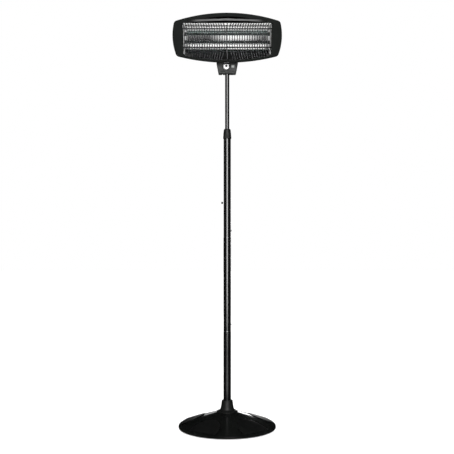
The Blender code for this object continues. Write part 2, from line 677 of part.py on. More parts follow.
def pull_cord(materials, parent):
    path = cord_path()
    curve = bpy.data.curves.new("pull_cord", "CURVE")
    curve.dimensions = "3D"
    curve.bevel_depth = CORD_RADIUS
    curve.bevel_resolution = 2
    curve.use_fill_caps = True
    curve.render_resolution_u = 0
    spline = curve.splines.new("POLY")
    spline.points.add(len(path) - 1)
    for point, place in zip(spline.points, path):
        point.co = (*place, 1.0)
    curve.materials.append(materials["white_nylon"])
    place_mesh("pull_cord", curve, parent)

    plunger_low = path[0].z + GAP
    plunger = [(0, plunger_low), (0.0018, plunger_low), (0.0024, plunger_low + 0.0012), (0.0024, PLUNGER_TOP)]
    plunger += [(0, PLUNGER_TOP)]
    turned("switch_plunger", plunger, materials["white_nylon"], parent, (CORD_X, CORD_Y, 0), sides=16)

    top = path[-1].z - GAP
    low = top - BEAD_HEIGHT
    middle = 0.5 * (top + low)
    bead = [
        (0, low), (0.0022, low), (0.0038, low + 0.0012), (BEAD_RADIUS, middle - 0.0012),
        (BEAD_RADIUS, middle + 0.0008), (0.0036, top - 0.0018), (0.0018, top), (0, top),
    ]
    turned("cord_bead", bead, materials["satin_black"], parent, (BEAD_X, BEAD_Y, 0), sides=16)


# ------------------------------------------------------------------ head
def arc_drop(distance, radius):
    return radius - math.sqrt(radius ** 2 - distance ** 2)


def head_outline(half_width, up, down, bow=1.0):
    """Closed outline of (u, up) points: bowed top and bottom, bowed ends and rounded corners."""
    top_arc = TOP_ARC_RADIUS / bow
    bottom_arc = BOTTOM_ARC_RADIUS / bow
    corners = {}
    for sign, reach, arc in ((1, up, top_arc), (-1, down, bottom_arc)):
        u = half_width
        for _ in range(12):
            v = sign * (reach - arc_drop(u, arc))
            u = half_width - arc_drop(v - SIDE_ARC_CENTRE, SIDE_ARC_RADIUS)
        corners[sign] = (u, v)
    top_end = corners[1][0] - CORNER_REACH
    side_start = corners[1][1] - CORNER_REACH
    side_end = corners[-1][1] + CORNER_REACH
    bottom_end = corners[-1][0] - CORNER_REACH
    across = 5
    along = 4
    half = [(u, up - arc_drop(u, top_arc)) for u in evenly(0.0, top_end, across)]
    side = [(half_width - arc_drop(v - SIDE_ARC_CENTRE, SIDE_ARC_RADIUS), v)
            for v in evenly(side_start, side_end, along)]
    bottom = [(u, arc_drop(u, bottom_arc) - down) for u in evenly(bottom_end, 0.0, across)]
    half += rounded_corner(half[-1], corners[1], side[0]) + side
    half += rounded_corner(side[-1], corners[-1], bottom[0]) + bottom
    return half + [(-u, v) for u, v in reversed(half[1:-1])]


def evenly(start, end, pieces):
    return [start + (end - start) * step / pieces for step in range(pieces + 1)]


def rounded_corner(start, corner, end):
    points = []
    for t in (0.25, 0.5, 0.75):
        points.append(tuple((1 - t) ** 2 * a + 2 * t * (1 - t) * b + t ** 2 * c
                            for a, b, c in zip(start, corner, end)))
    return points


def pan(name, outer, inner, material, parent):
    """A tray from two stacks of (depth, outline), outer rim to floor and inner rim to floor."""
    bm = bmesh.new()
    stacks = []
    for stack in (outer, inner):
        stacks.append([[bm.verts.new((u, depth, v)) for u, v in outline] for depth, outline in stack])
    for loops in stacks:
        for loop, next_loop in zip(loops, loops[1:]):
            bridge(bm, loop, next_loop)
        bm.faces.new(loops[-1])
    bridge(bm, stacks[0][0], stacks[1][0])
    return add_solid(name, bm, material, parent)


def rear_housing(materials, parent):
    sections = [(0.0203, 0.2560, 0.1100, 0.1075, 0.90), (0.0340, 0.2515, 0.1045, 0.1000, 0.80),
                (0.0500, 0.2400, 0.0905, 0.0840, 0.55), (HOUSING_BACK, 0.2200, 0.0690, 0.0600, 0.40)]
    skin = HOUSING_SKIN
    outer = [(depth, head_outline(half, up, down, bow)) for depth, half, up, down, bow in sections]
    inner = [(depth - (skin if depth > 0.06 else 0.0), head_outline(half - skin, up - skin, down - skin, bow))
             for depth, half, up, down, bow in sections]
    housing = pan("rear_housing", outer, inner, materials["painted_steel"], parent)
    combine(housing, vent_slots(materials, parent), "DIFFERENCE")
    gland_line = (GLAND_U, 0, GLAND_V)
    plastic = materials["satin_black"]
    hole = turned("gland_hole", rod(GLAND_NECK + GAP, 0.05, 0.08), plastic, parent, gland_line, "Y", 20)
    combine(housing, hole, "DIFFERENCE")
    gland = [
        (GLAND_BORE, 0.0580), (0.0110, 0.0580), (0.0110, 0.0620), (GLAND_NECK, 0.0620), (GLAND_NECK, 0.0643),
        (0.0115, 0.0643), (0.0115, 0.0690), (0.0098, 0.0700), (0.0094, 0.0770), (0.0066, 0.0800),
        (GLAND_BORE, 0.0800),
    ]
    turned("cable_gland", gland, plastic, parent, gland_line, "Y", 18)
    return housing


def vent_slots(materials, parent):
    """A row of upright slots through the back."""
    bm = bmesh.new()
    for index in range(VENT_COUNT):
        u = VENT_PITCH * (index - (VENT_COUNT - 1) / 2)
        left = u - VENT_WIDTH / 2
        right = u + VENT_WIDTH / 2
        corners = [(left, VENT_LOW), (right, VENT_LOW), (right, VENT_HIGH), (left, VENT_HIGH)]
        loops = [[bm.verts.new((a, depth, b)) for a, b in corners] for depth in (0.055, 0.070)]
        bridge(bm, *loops)
        for loop in loops:
            bm.faces.new(loop)
    return add_solid("vent_slots", bm, materials["satin_black"], parent)


def window_outline(grow=0.0):
    """Outline of the opening in the front: flared at the top corners and bowed below."""
    corner = WINDOW_CORNER[0] + grow
    right = [(WINDOW_HALF_TOP + grow, WINDOW_TOP + grow), (WINDOW_HALF + grow, WINDOW_KNEE),
             (WINDOW_HALF + grow, WINDOW_SIDE_END)]
    steps = 8
    for step in range(steps + 1):
        along = 1 - step / steps
        right.append((corner * along, window_low(WINDOW_CORNER[0] * along) - grow))
    left = [(-u, v) for u, v in reversed(right[:-1])]
    return right + left


def front_bezel(materials, parent):
    plastic = materials["charcoal"]
    shapes = [(BEZEL_DEPTH, 0.0008), (0.0060, 0.0), (0.0022, 0.0006), (0.0006, 0.0022), (0.0, 0.0045)]
    outer = [(depth, head_outline(HEAD_HALF_WIDTH - inset, HEAD_UP - inset, HEAD_DOWN - inset))
             for depth, inset in shapes]
    inner = [(depth, head_outline(HEAD_HALF_WIDTH - inset, HEAD_UP - inset, HEAD_DOWN - inset))
             for depth, inset in ((BEZEL_DEPTH, 0.0008 + BEZEL_SKIN), (BEZEL_FACE, BEZEL_SKIN + 0.001))]
    bezel = pan("front_bezel", outer, inner, plastic, parent)
    wall = prism("window_wall", window_outline(0.0024), 0.0020, WINDOW_WALL_DEPTH, plastic, parent)
    combine(bezel, wall, "UNION")
    window = prism("window", window_outline(), -0.010, 0.030, plastic, parent)
    combine(bezel, window, "DIFFERENCE")
    combine(bezel, prism("hood_recess", hood_recess(), -0.010, 0.0026, plastic, parent), "DIFFERENCE")
    notch_half = 0.019
    notch = box("bracket_notch", (BOLT_X - notch_half, -0.01, -0.130), (BOLT_X + notch_half, 0.030, -0.1085),
                plastic, parent)
    combine(bezel, notch, "DIFFERENCE")
    return bezel


def hood_recess():
    """Lens-shaped recess above the opening."""
    upper = []
    lower = []
    for u in evenly(-RECESS_HALF, RECESS_HALF, 12):
        bow = 1 - (u / RECESS_HALF) ** 2
        upper.append((u, RECESS_HEIGHT + 0.0003 + 0.0080 * bow))
        lower.append((u, RECESS_HEIGHT - 0.0003 - 0.0004 * bow))
    return upper + list(reversed(lower))


def sweep_bar(bm, points, depth, half):
    """A square bar along (u, up) points in the plane of the face."""
    loops = []
    last = len(points) - 1
    for index, (u, v) in enumerate(points):
        before = Vector(points[max(index - 1, 0)])
        after = Vector(points[min(index + 1, last)])
        along = (after - before).normalized()
        side = Vector((along.y, -along.x)) * half
        corners = [(side, -half), (side, half), (-side, half), (-side, -half)]
        loops.append([bm.verts.new((u + shift.x, depth + back, v + shift.y)) for shift, back in corners])
    for loop, next_loop in zip(loops, loops[1:]):
        bridge(bm, loop, next_loop)
    bm.faces.new(loops[0])
    bm.faces.new(loops[-1])


def window_low(u):
    """Lower edge of the opening at u, carried past the corners."""
    half, low = WINDOW_CORNER
    return low + (WINDOW_BOTTOM - low) * (1 - min(abs(u) / half, 1.0) ** 2)


def guard(materials, parent):
    wires = bmesh.new()
    for number in range(-GUARD_WIRES_EACH_SIDE, GUARD_WIRES_EACH_SIDE + 1):
        u = number * GUARD_PITCH
        lean = GUARD_LEAN * (number > 0) - GUARD_LEAN * (number < 0)
        top = WINDOW_TOP + 0.0050
        low = window_low(u) - 0.0015
        points = [(u + lean * (top - GUARD_KNEE), top), (u, GUARD_KNEE), (u, -GUARD_KNEE),
                  (u - lean * (low + GUARD_KNEE), low)]
        sweep_bar(wires, points, GUARD_DEPTH, GUARD_WIRE_HALF)
    steel = materials["chrome"]
    grille = add_solid("guard", wires, steel, parent)
    rails = bmesh.new()
    ends = WINDOW_HALF + 0.0040
    for v in (GUARD_KNEE, -GUARD_KNEE):
        sweep_bar(rails, [(-ends, v), (ends, v)], GUARD_RAIL_DEPTH, GUARD_WIRE_HALF)
    combine(grille, add_solid("guard_rails", rails, steel, parent), "UNION")
    return grille


def reflector(materials, parent):
    """A bright sheet trough: flange, upper slope, back, lower slope and a bowed lower flange."""
    columns = 12
    lines = [(REFLECTOR_FRONT, WINDOW_TOP + 0.0035, WINDOW_HALF_TOP),
             (REFLECTOR_FRONT, WINDOW_TOP, WINDOW_HALF_TOP - 0.0010),
             (REFLECTOR_BACK, REFLECTOR_BEND_TOP, REFLECTOR_HALF),
             (REFLECTOR_BACK, REFLECTOR_BEND_BOTTOM, REFLECTOR_HALF),
             (REFLECTOR_FRONT, None, WINDOW_HALF - 0.0005), (REFLECTOR_FRONT, None, WINDOW_HALF - 0.0005)]
    bm = bmesh.new()
    grid = []
    for index, (depth, height, half) in enumerate(lines):
        row = []
        for column in range(columns + 1):
            u = half * (2 * column / columns - 1)
            v = height
            if height is None:
                v = window_low(u) - (0.0 if index == 4 else 0.0015)
            row.append(bm.verts.new((u, depth, v)))
        grid.append(row)
    for row, next_row in zip(grid, grid[1:]):
        for column in range(columns):
            near = (row[column], row[column + 1])
            far = (next_row[column + 1], next_row[column])
            bm.faces.new(near + far)
    trough = add_solid("reflector", bm, materials["mirror_sheet"], parent)
    thicken(trough, SHEET)
    for name, side in (("left", -1), ("right", 1)):
        reflector_end(name, side, materials, parent)


def reflector_end(name, side, materials, parent):
    """The bright plate that closes one end of the trough, with a hole for each tube's cap."""
    clear = 0.0012
    front = REFLECTOR_FRONT + 0.001
    back = REFLECTOR_BACK - clear
    reach = REFLECTOR_HALF + 0.0015
    foot = WINDOW_HALF + 0.0010
    corners = [(front, WINDOW_TOP - 0.003, WINDOW_HALF_TOP - 0.0005), (back, REFLECTOR_BEND_TOP - clear, reach),
               (back, REFLECTOR_BEND_BOTTOM + clear, reach), (front, window_low(foot) + 0.0025, foot)]
    bm = bmesh.new()
    inner = [bm.verts.new((side * u, depth, v)) for depth, v, u in corners]
    outer = [bm.verts.new((side * (u + SHEET), depth, v)) for depth, v, u in corners]
    bridge(bm, inner, outer)
    for loop in (inner, outer):
        bm.faces.new((loop[0], loop[1], loop[2]))
        bm.faces.new((loop[0], loop[2], loop[3]))
    plate = add_solid(f"reflector_end_{name}", bm, materials["mirror_sheet"], parent)
    hole = [(radius, side * along) for radius, along in rod(CAP_RADIUS + 0.0005, 0.15, 0.25)]
    for row, height in enumerate(TUBE_ROWS, 1):
        line = (0, TUBE_DEPTH, height)
        cutter = turned(f"end_hole_{name}_{row}", hole, materials["mirror_sheet"], parent, line, "X", 20)
        combine(plate, cutter, "DIFFERENCE")


def heating_tubes(materials, parent):
    for number, height in enumerate(TUBE_ROWS, 1):
        line = (0, TUBE_DEPTH, height)
        tube = sleeve_profile(QUARTZ_RADIUS - QUARTZ_WALL, QUARTZ_RADIUS, -QUARTZ_HALF, QUARTZ_HALF)
        turned(f"quartz_tube_{number}", tube, materials["quartz"], parent, line, "X", 20)
        coil_half = QUARTZ_HALF - 0.004
        coil = sleeve_profile(COIL_RADIUS - 0.0010, COIL_RADIUS, -coil_half, coil_half)
        turned(f"heating_coil_{number}", coil, materials["heating_wire"], parent, line, "X", 14)
        for name, side in (("left", -1), ("right", 1)):
            cap = [
                (QUARTZ_RADIUS + GAP, CAP_INNER_END), (CAP_RADIUS, CAP_INNER_END),
                (CAP_RADIUS, CAP_OUTER_END - 0.001), (CAP_RADIUS - 0.001, CAP_OUTER_END),
                (CAP_BORE, CAP_OUTER_END), (CAP_BORE, QUARTZ_HALF + GAP),
                (QUARTZ_RADIUS + GAP, QUARTZ_HALF + GAP),
            ]
            cap = [(radius, side * along) for radius, along in cap]
            turned(f"ceramic_cap_{name}_{number}", cap, materials["ceramic"], parent, line, "X", 16)


def head_inside(materials, parent):
    """The plate that steadies the tubes, the connection block and the four screws at the back."""
    back = REFLECTOR_BACK - 0.0015
    outline = [(0.0210, 0.0540), (0.0305, 0.0540), (back, 0.0340), (back, -0.0620), (0.0430, -0.0690)]
    outline += [(0.0210, -0.0690)]
    support = prism("centre_support", outline, -0.0050, -0.0018, materials["painted_steel"], parent, "X")
    hole = rod(QUARTZ_RADIUS + GAP, -0.02, 0.02)
    for row, height in enumerate(TUBE_ROWS, 1):
        line = (0, TUBE_DEPTH, height)
        cutter = turned(f"support_hole_{row}", hole, materials["satin_black"], parent, line, "X", 20)
        combine(support, cutter, "DIFFERENCE")
    block = box("terminal_block", BLOCK_LOW, BLOCK_HIGH, materials["ceramic"], parent)
    soften(block, 0.0010, 1)
    corner_screw = [(0, 0.0), (0.0030, 0.0), (0.0036, 0.0012), (0.0036, 0.0022), (0, 0.0022)]
    for side_name, side in (("left", -1), ("right", 1)):
        for row_name, height in (("upper", HOUSING_SCREW_HIGH), ("lower", HOUSING_SCREW_LOW)):
            place = (side * HOUSING_SCREW_U, HOUSING_BACK + GAP, height)
            name = f"housing_screw_{side_name}_{row_name}"
            turned(name, corner_screw, materials["bare_steel"], parent, place, "Y", 16)


def tilt_barrel(materials, parent):
    """The barrel the head turns on, with two lugs up to a foot under the rear housing."""
    steel = materials["painted_steel"]
    axis = (0, FACE_FORWARD, -FACE_RISE)
    body = turned("tilt_barrel", rod(BARREL_RADIUS, -BARREL_HALF, BARREL_HALF), steel, parent, axis, "X", 24)
    foot_line = [(0.0520, -0.0812), (0.0628, -0.0627), (0.0654, -0.0642), (0.0546, -0.0827)]
    for name, side in (("left", -1), ("right", 1)):
        inner, outer = sorted((side * LUG_INNER, side * (BARREL_HALF - 0.0005)))
        lug = turned(f"lug_{name}", rod(LUG_RADIUS, inner, outer), steel, parent, axis, "X", 24)
        combine(body, lug, "UNION", "MANIFOLD")
        arm = [(0.0520, -0.1090), (0.0652, -0.1090), (0.0640, -0.0637), (0.0535, -0.0817)]
        arm_body = prism(f"arm_{name}", arm, inner + 0.0004, outer - 0.0004, steel, parent, "X")
        combine(body, arm_body, "UNION", "MANIFOLD")
    foot = prism("barrel_foot", foot_line, -BARREL_FOOT_HALF, BARREL_FOOT_HALF, steel, parent, "X")
    combine(body, foot, "UNION", "MANIFOLD")
    return body


def head(materials, parent):
    rear_housing(materials, parent)
    front_bezel(materials, parent)
    guard(materials, parent)
    reflector(materials, parent)
    heating_tubes(materials, parent)
    head_inside(materials, parent)
    tilt_barrel(materials, parent)


# ------------------------------------------------------------------ assembly
def build():
    clear_scene()
    materials = make_materials()
    base_cover(materials)
    base_inside(materials)
    base_feet(materials)
    base_collar(materials)
    stand(materials)
    twist_collar(materials, make_empty("collar_axis"))
    slide_axis = make_empty("slide_axis")
    mast_guide(materials, slide_axis)
    mast_axis = make_empty("mast_axis", parent=slide_axis)
    mast(materials, mast_axis)
    tilt_knob(materials, make_empty("knob_axis", (BOLT_X, 0, BOLT_Z), mast_axis))
    pull_cord(materials, make_empty("pull_axis", parent=mast_axis))
    tilt_axis = make_empty("tilt_axis", (0, TILT_AXIS_Y, TILT_AXIS_Z), mast_axis, HEAD_TILT)
    head(materials, make_empty("head_frame", (0, -FACE_FORWARD, FACE_RISE), tilt_axis))


build()
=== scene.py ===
"""Looks of the free-standing quartz heater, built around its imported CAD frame.

Sections: driving dimensions, camera, stage and lights, mesh tools, materials, base, stand, mast and bracket,
pull cord, head, scene.
The head's pieces are made in the head's own frame, (u, back, up), and carried into place by HEAD.
"""
import json
import math

import bmesh
import bpy
from mathutils import Matrix, Vector

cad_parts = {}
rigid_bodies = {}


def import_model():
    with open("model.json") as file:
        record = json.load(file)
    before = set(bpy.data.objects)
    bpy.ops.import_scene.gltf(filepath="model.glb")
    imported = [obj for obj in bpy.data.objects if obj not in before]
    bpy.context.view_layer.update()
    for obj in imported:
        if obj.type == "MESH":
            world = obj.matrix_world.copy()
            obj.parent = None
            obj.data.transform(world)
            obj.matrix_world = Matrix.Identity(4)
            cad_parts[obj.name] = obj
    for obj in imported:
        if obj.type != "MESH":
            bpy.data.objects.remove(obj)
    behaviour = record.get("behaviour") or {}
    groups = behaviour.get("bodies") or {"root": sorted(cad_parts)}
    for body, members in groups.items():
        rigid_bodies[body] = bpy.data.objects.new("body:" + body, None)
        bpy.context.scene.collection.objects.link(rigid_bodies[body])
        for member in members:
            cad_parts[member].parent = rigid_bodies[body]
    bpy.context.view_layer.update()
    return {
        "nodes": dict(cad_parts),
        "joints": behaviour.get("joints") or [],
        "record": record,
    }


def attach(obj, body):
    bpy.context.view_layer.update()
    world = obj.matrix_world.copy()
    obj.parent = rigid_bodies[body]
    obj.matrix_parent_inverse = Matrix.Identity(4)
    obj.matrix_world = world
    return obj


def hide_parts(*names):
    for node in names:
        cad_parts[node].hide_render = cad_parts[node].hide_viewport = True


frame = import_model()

JOINTS = {joint["name"]: joint for joint in frame["joints"]}
IDENTITY = Matrix.Identity(4)
EVEN = (1.0, 1.0, 1.0)             # no stretch of a noise

# ------------------------------------------------------------------ driving dimensions, in metres
HEAD_TILT = math.radians(13.0)
HEAD = (Matrix.Translation(JOINTS["head_tilt"]["pos_m"]) @ Matrix.Rotation(HEAD_TILT, 4, "X")
        @ Matrix.Translation((0, -0.0586, 0.1107)))

BASE_RADIUS = 0.2345
SHOULDER_RADIUS = 0.2325
HOLE_RADIUS = 0.0225
RIM_TOP = 0.0168
DOME_SLOPE = 0.3385
DOME_CROWN = 0.0020
BASE_SKIN = 0.0030
PAD_AZIMUTHS = [-33.0, 39.0, 111.0, 183.0, 255.0]
PAD_INNER = 0.114
PAD_OUTER = 0.2225
PAD_HALF_WIDTH = 0.076
PAD_STEP = 0.0035
FOOT_CIRCLE = 0.190

TUBES = {"lower_tube": (0.01835, 0.0120, 0.4676), "middle_tube": (0.0180, 0.4684, 0.9196),
         "upper_tube": (0.0174, 0.9204, 1.4050)}     # radius, foot and top
JOINT_SCREWS = {"lower": (0.0183, 0.500), "upper": (0.0177, 0.952)}     # tube's surface and height
TUBE_WALL = 0.0012
MAST_RADIUS = 0.01025
BRACKET_FRONT = -0.0180
BRACKET_BACK = 0.0260
BOLT = Vector((-0.0043, 0.0, 1.7445))
CORD_EXIT = Vector((-0.0225, -0.0115, 1.7055))
CORD_RADIUS = 0.0010
BEAD = Vector((-0.0243, -0.0150, 1.0917))

HALF_WIDTH = 0.2597
HEAD_UP = 0.1168
HEAD_DOWN = 0.1150
TOP_ARC = 0.8236
BOTTOM_ARC = 0.965
SIDE_ARC = 0.250
SIDE_ARC_CENTRE = 0.0100
CORNER_REACH = 0.010
WINDOW_TOP = 0.0690
WINDOW_HALF_TOP = 0.2150
WINDOW_HALF = 0.2085
WINDOW_KNEE = 0.0300
WINDOW_SIDE_END = -0.0720
WINDOW_CORNER = (0.2000, -0.0835)
WINDOW_BOTTOM = -0.1020
HOOD_BAND = (0.0806, 0.0908)
HOOD_ARC = 2.4
HOOD_HALF = 0.196
WIRE_RADIUS = 0.0019
RAIL_RADIUS = 0.0032
RAIL_DEPTH = 0.0190
WIRE_PITCH = 0.0120
WIRES_EACH_SIDE = 17
WIRE_KNEE = 0.0430
WIRE_DEPTH = 0.0158
WIRE_LEAN = math.tan(math.radians(15.0))
TUBE_ROWS = [0.0185, -0.0191, -0.0586]
TUBE_DEPTH = 0.0360
QUARTZ_RADIUS = 0.0065
QUARTZ_HALF = 0.2040
COIL_RADIUS = 0.0044
COIL_WIRE_RADIUS = 0.0006
COIL_TURNS = 190
CAP_HOLE_RADIUS = 0.0093
SHEET_BACK = 0.0445
SHEET_HALF = 0.1925
SHEET_BEND = 0.0280
SHEET_FOOT = -0.0640
SHEET_FRONT = 0.0200
SHEET_THICKNESS = 0.0006
GLAND = (0.150, 0, -0.020)
HOUSING_BACK = 0.0640
HOUSING_SKIN = 0.0014
VENTS = 10
VENT_PITCH = 0.034

PANEL_Y = -5.0                     # distance of the light panels in front of the heater
BRIGHT_PIECES = ("guard_wires", "guard_rails", "reflector_sheet", "reflector_plate_left",
                 "reflector_plate_right", "clamp_plate_bright")
HOOD_PIECES = ("hood_strip", "hood_lens", "hood_shade")
SHADED_PIECES = ("quartz_glass", "coil_wire", "base_cover")


# ------------------------------------------------------------------ camera, stage and lights
def into_scene(name, data):
    """Make an object from its data and put it into the scene."""
    obj = bpy.data.objects.new(name, data)
    bpy.context.scene.collection.objects.link(obj)
    return obj


def add_camera():
    """The camera, level with the middle of the heater and square to its front."""
    data = bpy.data.cameras.new("camera")
    data.lens = 65.66
    data.sensor_width = 36.0
    camera = into_scene("camera", data)
    camera.location = (-0.0010, -4.0, 0.970)
    camera.rotation_euler = (math.radians(90), 0, 0)
    bpy.context.scene.camera = camera


def add_stage():
    """A plain pale floor and an even pale surround, both left out of reflections so that gloss stays dark."""
    bm = bmesh.new()
    bmesh.ops.create_grid(bm, x_segments=40, y_segments=40, size=14.0)
    floor = new_piece("floor", bm, [floor_material()])
    floor.visible_glossy = False
    world = bpy.data.worlds.new("surround")
    world.use_nodes = True
    background = world.node_tree.nodes["Background"]
    background.inputs["Color"].default_value = (1.0, 1.0, 1.0, 1.0)
    background.inputs["Strength"].default_value = 1.0
    world.cycles_visibility.glossy = False
    bpy.context.scene.world = world
    sun = bpy.data.lights.new("floor_light", "SUN")
    sun.energy = 1.2
    sun.use_shadow = False
    lamp = into_scene("floor_light", sun)
    lamp.location = (0, 0, 6)
    aim_at([lamp], [floor])


def area_light(name, place, target, size, radiance):
    """A rectangular soft light that gives about the same brightness whatever its size."""
    data = bpy.data.lights.new(name, "AREA")
    data.shape = "RECTANGLE"
    data.size = size[0]
    data.size_y = size[1]
    data.energy = radiance * math.pi * size[0] * size[1]
    light = into_scene(name, data)
    light.location = place
    light.rotation_euler = (Vector(target) - Vector(place)).to_track_quat("-Z", "Y").to_euler()
    light.visible_camera = False
    return light


def front_light(name, x, z, size, radiance, y=PANEL_Y):
    """A soft light in front of the heater that shines straight back."""
    return area_light(name, (x, y, z), (x, 0, z), size, radiance)


def upward_light(name, x, y, z, size, radiance):
    """A soft light just above the floor that shines straight up, seen only in what hangs over it."""
    return area_light(name, (x, y, z), (x, y, 2.0), size, radiance)


def aim_at(lights, pieces, leave_out=False):
    """Light only these pieces, or everything but them."""
    group = bpy.data.collections.new("lit")
    for piece in pieces:
        group.objects.link(piece)
    for member in group.collection_objects:
        member.light_linking.link_state = "EXCLUDE" if leave_out else "INCLUDE"
    for light in lights:
        light.light_linking.receiver_collection = group


def add_lights():
    """Large soft panels for the black parts, and weaker ones for the bright metal, which would be too bright.

    Panels that face the same way and overlap stand a little apart, because only the nearer one is reflected.
    """
    bright = [bpy.data.objects[name] for name in BRIGHT_PIECES]
    hood = [bpy.data.objects[name] for name in HOOD_PIECES]
    shaded = [piece for piece in bpy.data.objects if piece.name.startswith(SHADED_PIECES)]
    front = [front_light("front_panel", 0.0, 2.46, (3.0, 4.88), 7.0),
             area_light("front_high", (0.0, -4.4, 5.4), (0, 0, 1.4), (2.6, 1.6), 3.0)]
    aim_at(front, bright + hood + shaded, leave_out=True)
    upward_light("floor_sheen", 0.0, -2.9, 0.004, (1.1, 4.2), 0.9)
    upward_light("rim_sheen", 0.02, -0.45, 0.004, (0.08, 0.36), 1.6)
    area_light("back_right", (0.66, -PANEL_Y, 0.85), (0.1, 0, 0.1), (0.46, 0.9), 7.0)
    area_light("back_left", (-0.62, -PANEL_Y, 0.85), (-0.1, 0, 0.1), (0.5, 0.9), 1.6)
    aim_at([area_light("hood_panel", (0.0, PANEL_Y, 4.0), (0.0, 0, 1.9), (0.34, 1.6), 20.0)], hood[:1])
    metal = [front_light("sheet_low", 0.05, 0.627, (1.30, 0.034), 1.7),
             front_light("sheet_foot", 0.33, 0.587, (0.66, 0.042), 0.55),
             front_light("sheet_foot_dim", 0.0, 0.585, (1.30, 0.046), 0.22, y=PANEL_Y - 0.05),
             front_light("sheet_middle_dim", 0.0, 0.730, (1.30, 0.062), 0.16, y=PANEL_Y - 0.05),
             upward_light("sheet_below", 0.10, -0.95, 0.020, (1.40, 1.60), 0.85),
             upward_light("sheet_below_dim", 0.0, -0.95, 0.015, (1.60, 1.70), 0.22),
             front_light("wire_panel", 0.0, 1.35, (2.4, 0.5), 4.0),
             front_light("wire_foot", 0.0, 0.27, (2.4, 0.40), 4.0),
             area_light("end_right", (4.0, -2.50, 1.25), (0.0, 0, 1.86), (1.2, 1.4), 1.6),
             area_light("end_left", (-4.0, -2.50, 1.25), (0.0, 0, 1.86), (1.2, 1.4), 1.6),
             front_light("plate_panel", 0.0, 2.72, (2.0, 2.0), 1.35)]
    for number, width in enumerate((0.22, 0.32, 0.42, 0.54), 1):
        y = PANEL_Y + 0.05 - 0.01 * number
        metal.append(front_light(f"sheet_middle_{number}", 0.10, 0.730, (width, 0.062), 0.30, y))
    aim_at(metal, bright)


# ------------------------------------------------------------------ mesh tools
def new_piece(name, bm, materials, matrix=IDENTITY, smooth_angle=30.0):
    """Turn a bmesh into a scene object whose place is in its vertices."""
    bmesh.ops.recalc_face_normals(bm, faces=bm.faces)
    bm.transform(matrix)
    mesh = bpy.data.meshes.new(name)
    bm.to_mesh(mesh)
    bm.free()
    mesh.shade_smooth()
    mesh.set_sharp_from_angle(angle=math.radians(smooth_angle))
    for material in materials:
        mesh.materials.append(material)
    return into_scene(name, mesh)


def publish(obj, body, slot, *nodes):
    """Put a new piece on the body that it rides on and hide the CAD nodes that it stands for; the slot is not
    used.
    """
    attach(obj, body)
    if nodes:
        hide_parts(*nodes)
    return obj


def add(name, bm, finish, body, slot, *nodes, matrix=IDENTITY, smooth_angle=30.0):
    """Make a piece of one finish and publish it."""
    return publish(new_piece(name, bm, [MATERIALS[finish]], matrix, smooth_angle), body, slot, *nodes)


def bridge(bm, ring, next_ring, closed=True):
    """Join two rings of vertices with faces. A ring of one vertex makes a fan."""
    count = max(len(ring), len(next_ring))
    last = count if closed else count - 1
    for index in range(last):
        after = (index + 1) % count
        corners = [ring[index % len(ring)], ring[after % len(ring)]]
        corners += [next_ring[after % len(next_ring)], next_ring[index % len(next_ring)]]
        corners = list(dict.fromkeys(corners))
        if len(corners) > 2:
            bm.faces.new(corners)


def fillet(points, radius, steps=4, closed=True):
    """Round the corners of an outline with short arcs, as far as the neighbouring edges allow."""
    rounded = []
    count = len(points)
    for index, point in enumerate(points):
        here = Vector(point)
        if not closed and index in (0, count - 1):
            rounded.append(tuple(here))
            continue
        before = Vector(points[index - 1]) - here
        after = Vector(points[(index + 1) % count]) - here
        if before.length < 1e-7 or after.length < 1e-7:
            continue
        reach = min(radius, 0.45 * before.length, 0.45 * after.length)
        start = here + before.normalized() * reach
        end = here + after.normalized() * reach
        if (start + end - 2 * here).length < 0.06 * reach:
            rounded.append(tuple(here))
            continue
        for step in range(steps + 1):
            t = step / steps
            rounded.append(tuple((1 - t) ** 2 * start + 2 * t * (1 - t) * here + t ** 2 * end))
    return rounded


def densify(points, spacing, closed=True, like=None):
    """Add points along the long edges of an outline, which also keeps its flats flat where shading is smooth.

    Outlines that are bridged together take their numbers of points from one outline, given as like.
    """
    dense = []
    guide = like or points
    pairs = list(zip(guide, guide[1:] + guide[:1]))
    for index, (point, after) in enumerate(zip(points, points[1:] + (points[:1] if closed else []))):
        start = Vector(point)
        end = Vector(after)
        length = (Vector(pairs[index][1]) - Vector(pairs[index][0])).length
        pieces = max(1, math.ceil(length / spacing))
        dense += [tuple(start.lerp(end, step / pieces)) for step in range(pieces)]
    return dense if closed else dense + [tuple(points[-1])]


def tube_profile(bore, radius, low, high):
    """Wall of a tube with rounded ends, and rings near them so that its sides shade straight."""
    walls = [(bore, low), (radius, low), (radius, low + 0.003), (radius, high - 0.003), (radius, high),
             (bore, high), (bore, high - 0.003), (bore, low + 0.003)]
    return fillet(walls, 0.0005, 3)


def lathe(profile, segments=96, ripple=None):
    """Turn a profile of (radius, height) points about Z. It closes on itself, or on the axis."""
    bm = bmesh.new()
    rings = []
    for radius, height in profile:
        ring = []
        for step in range(segments if radius > 1e-6 else 1):
            angle = 2 * math.pi * step / segments
            reach = radius + (ripple(radius, height, angle) if ripple else 0.0)
            ring.append(bm.verts.new((reach * math.cos(angle), reach * math.sin(angle), height)))
        rings.append(ring)
    for ring, next_ring in zip(rings, rings[1:] + rings[:1]):
        if len(ring) > 1 or len(next_ring) > 1:
            bridge(bm, ring, next_ring)
    return bm


def along_axis(axis, place=(0, 0, 0)):
    """Matrix that lays a turned shape's Z axis along X, Y or Z through a place."""
    quarter = math.pi / 2
    turn = {"X": Matrix.Rotation(quarter, 4, "Y"), "Y": Matrix.Rotation(-quarter, 4, "X"), "Z": IDENTITY}
    return Matrix.Translation(place) @ turn[axis]


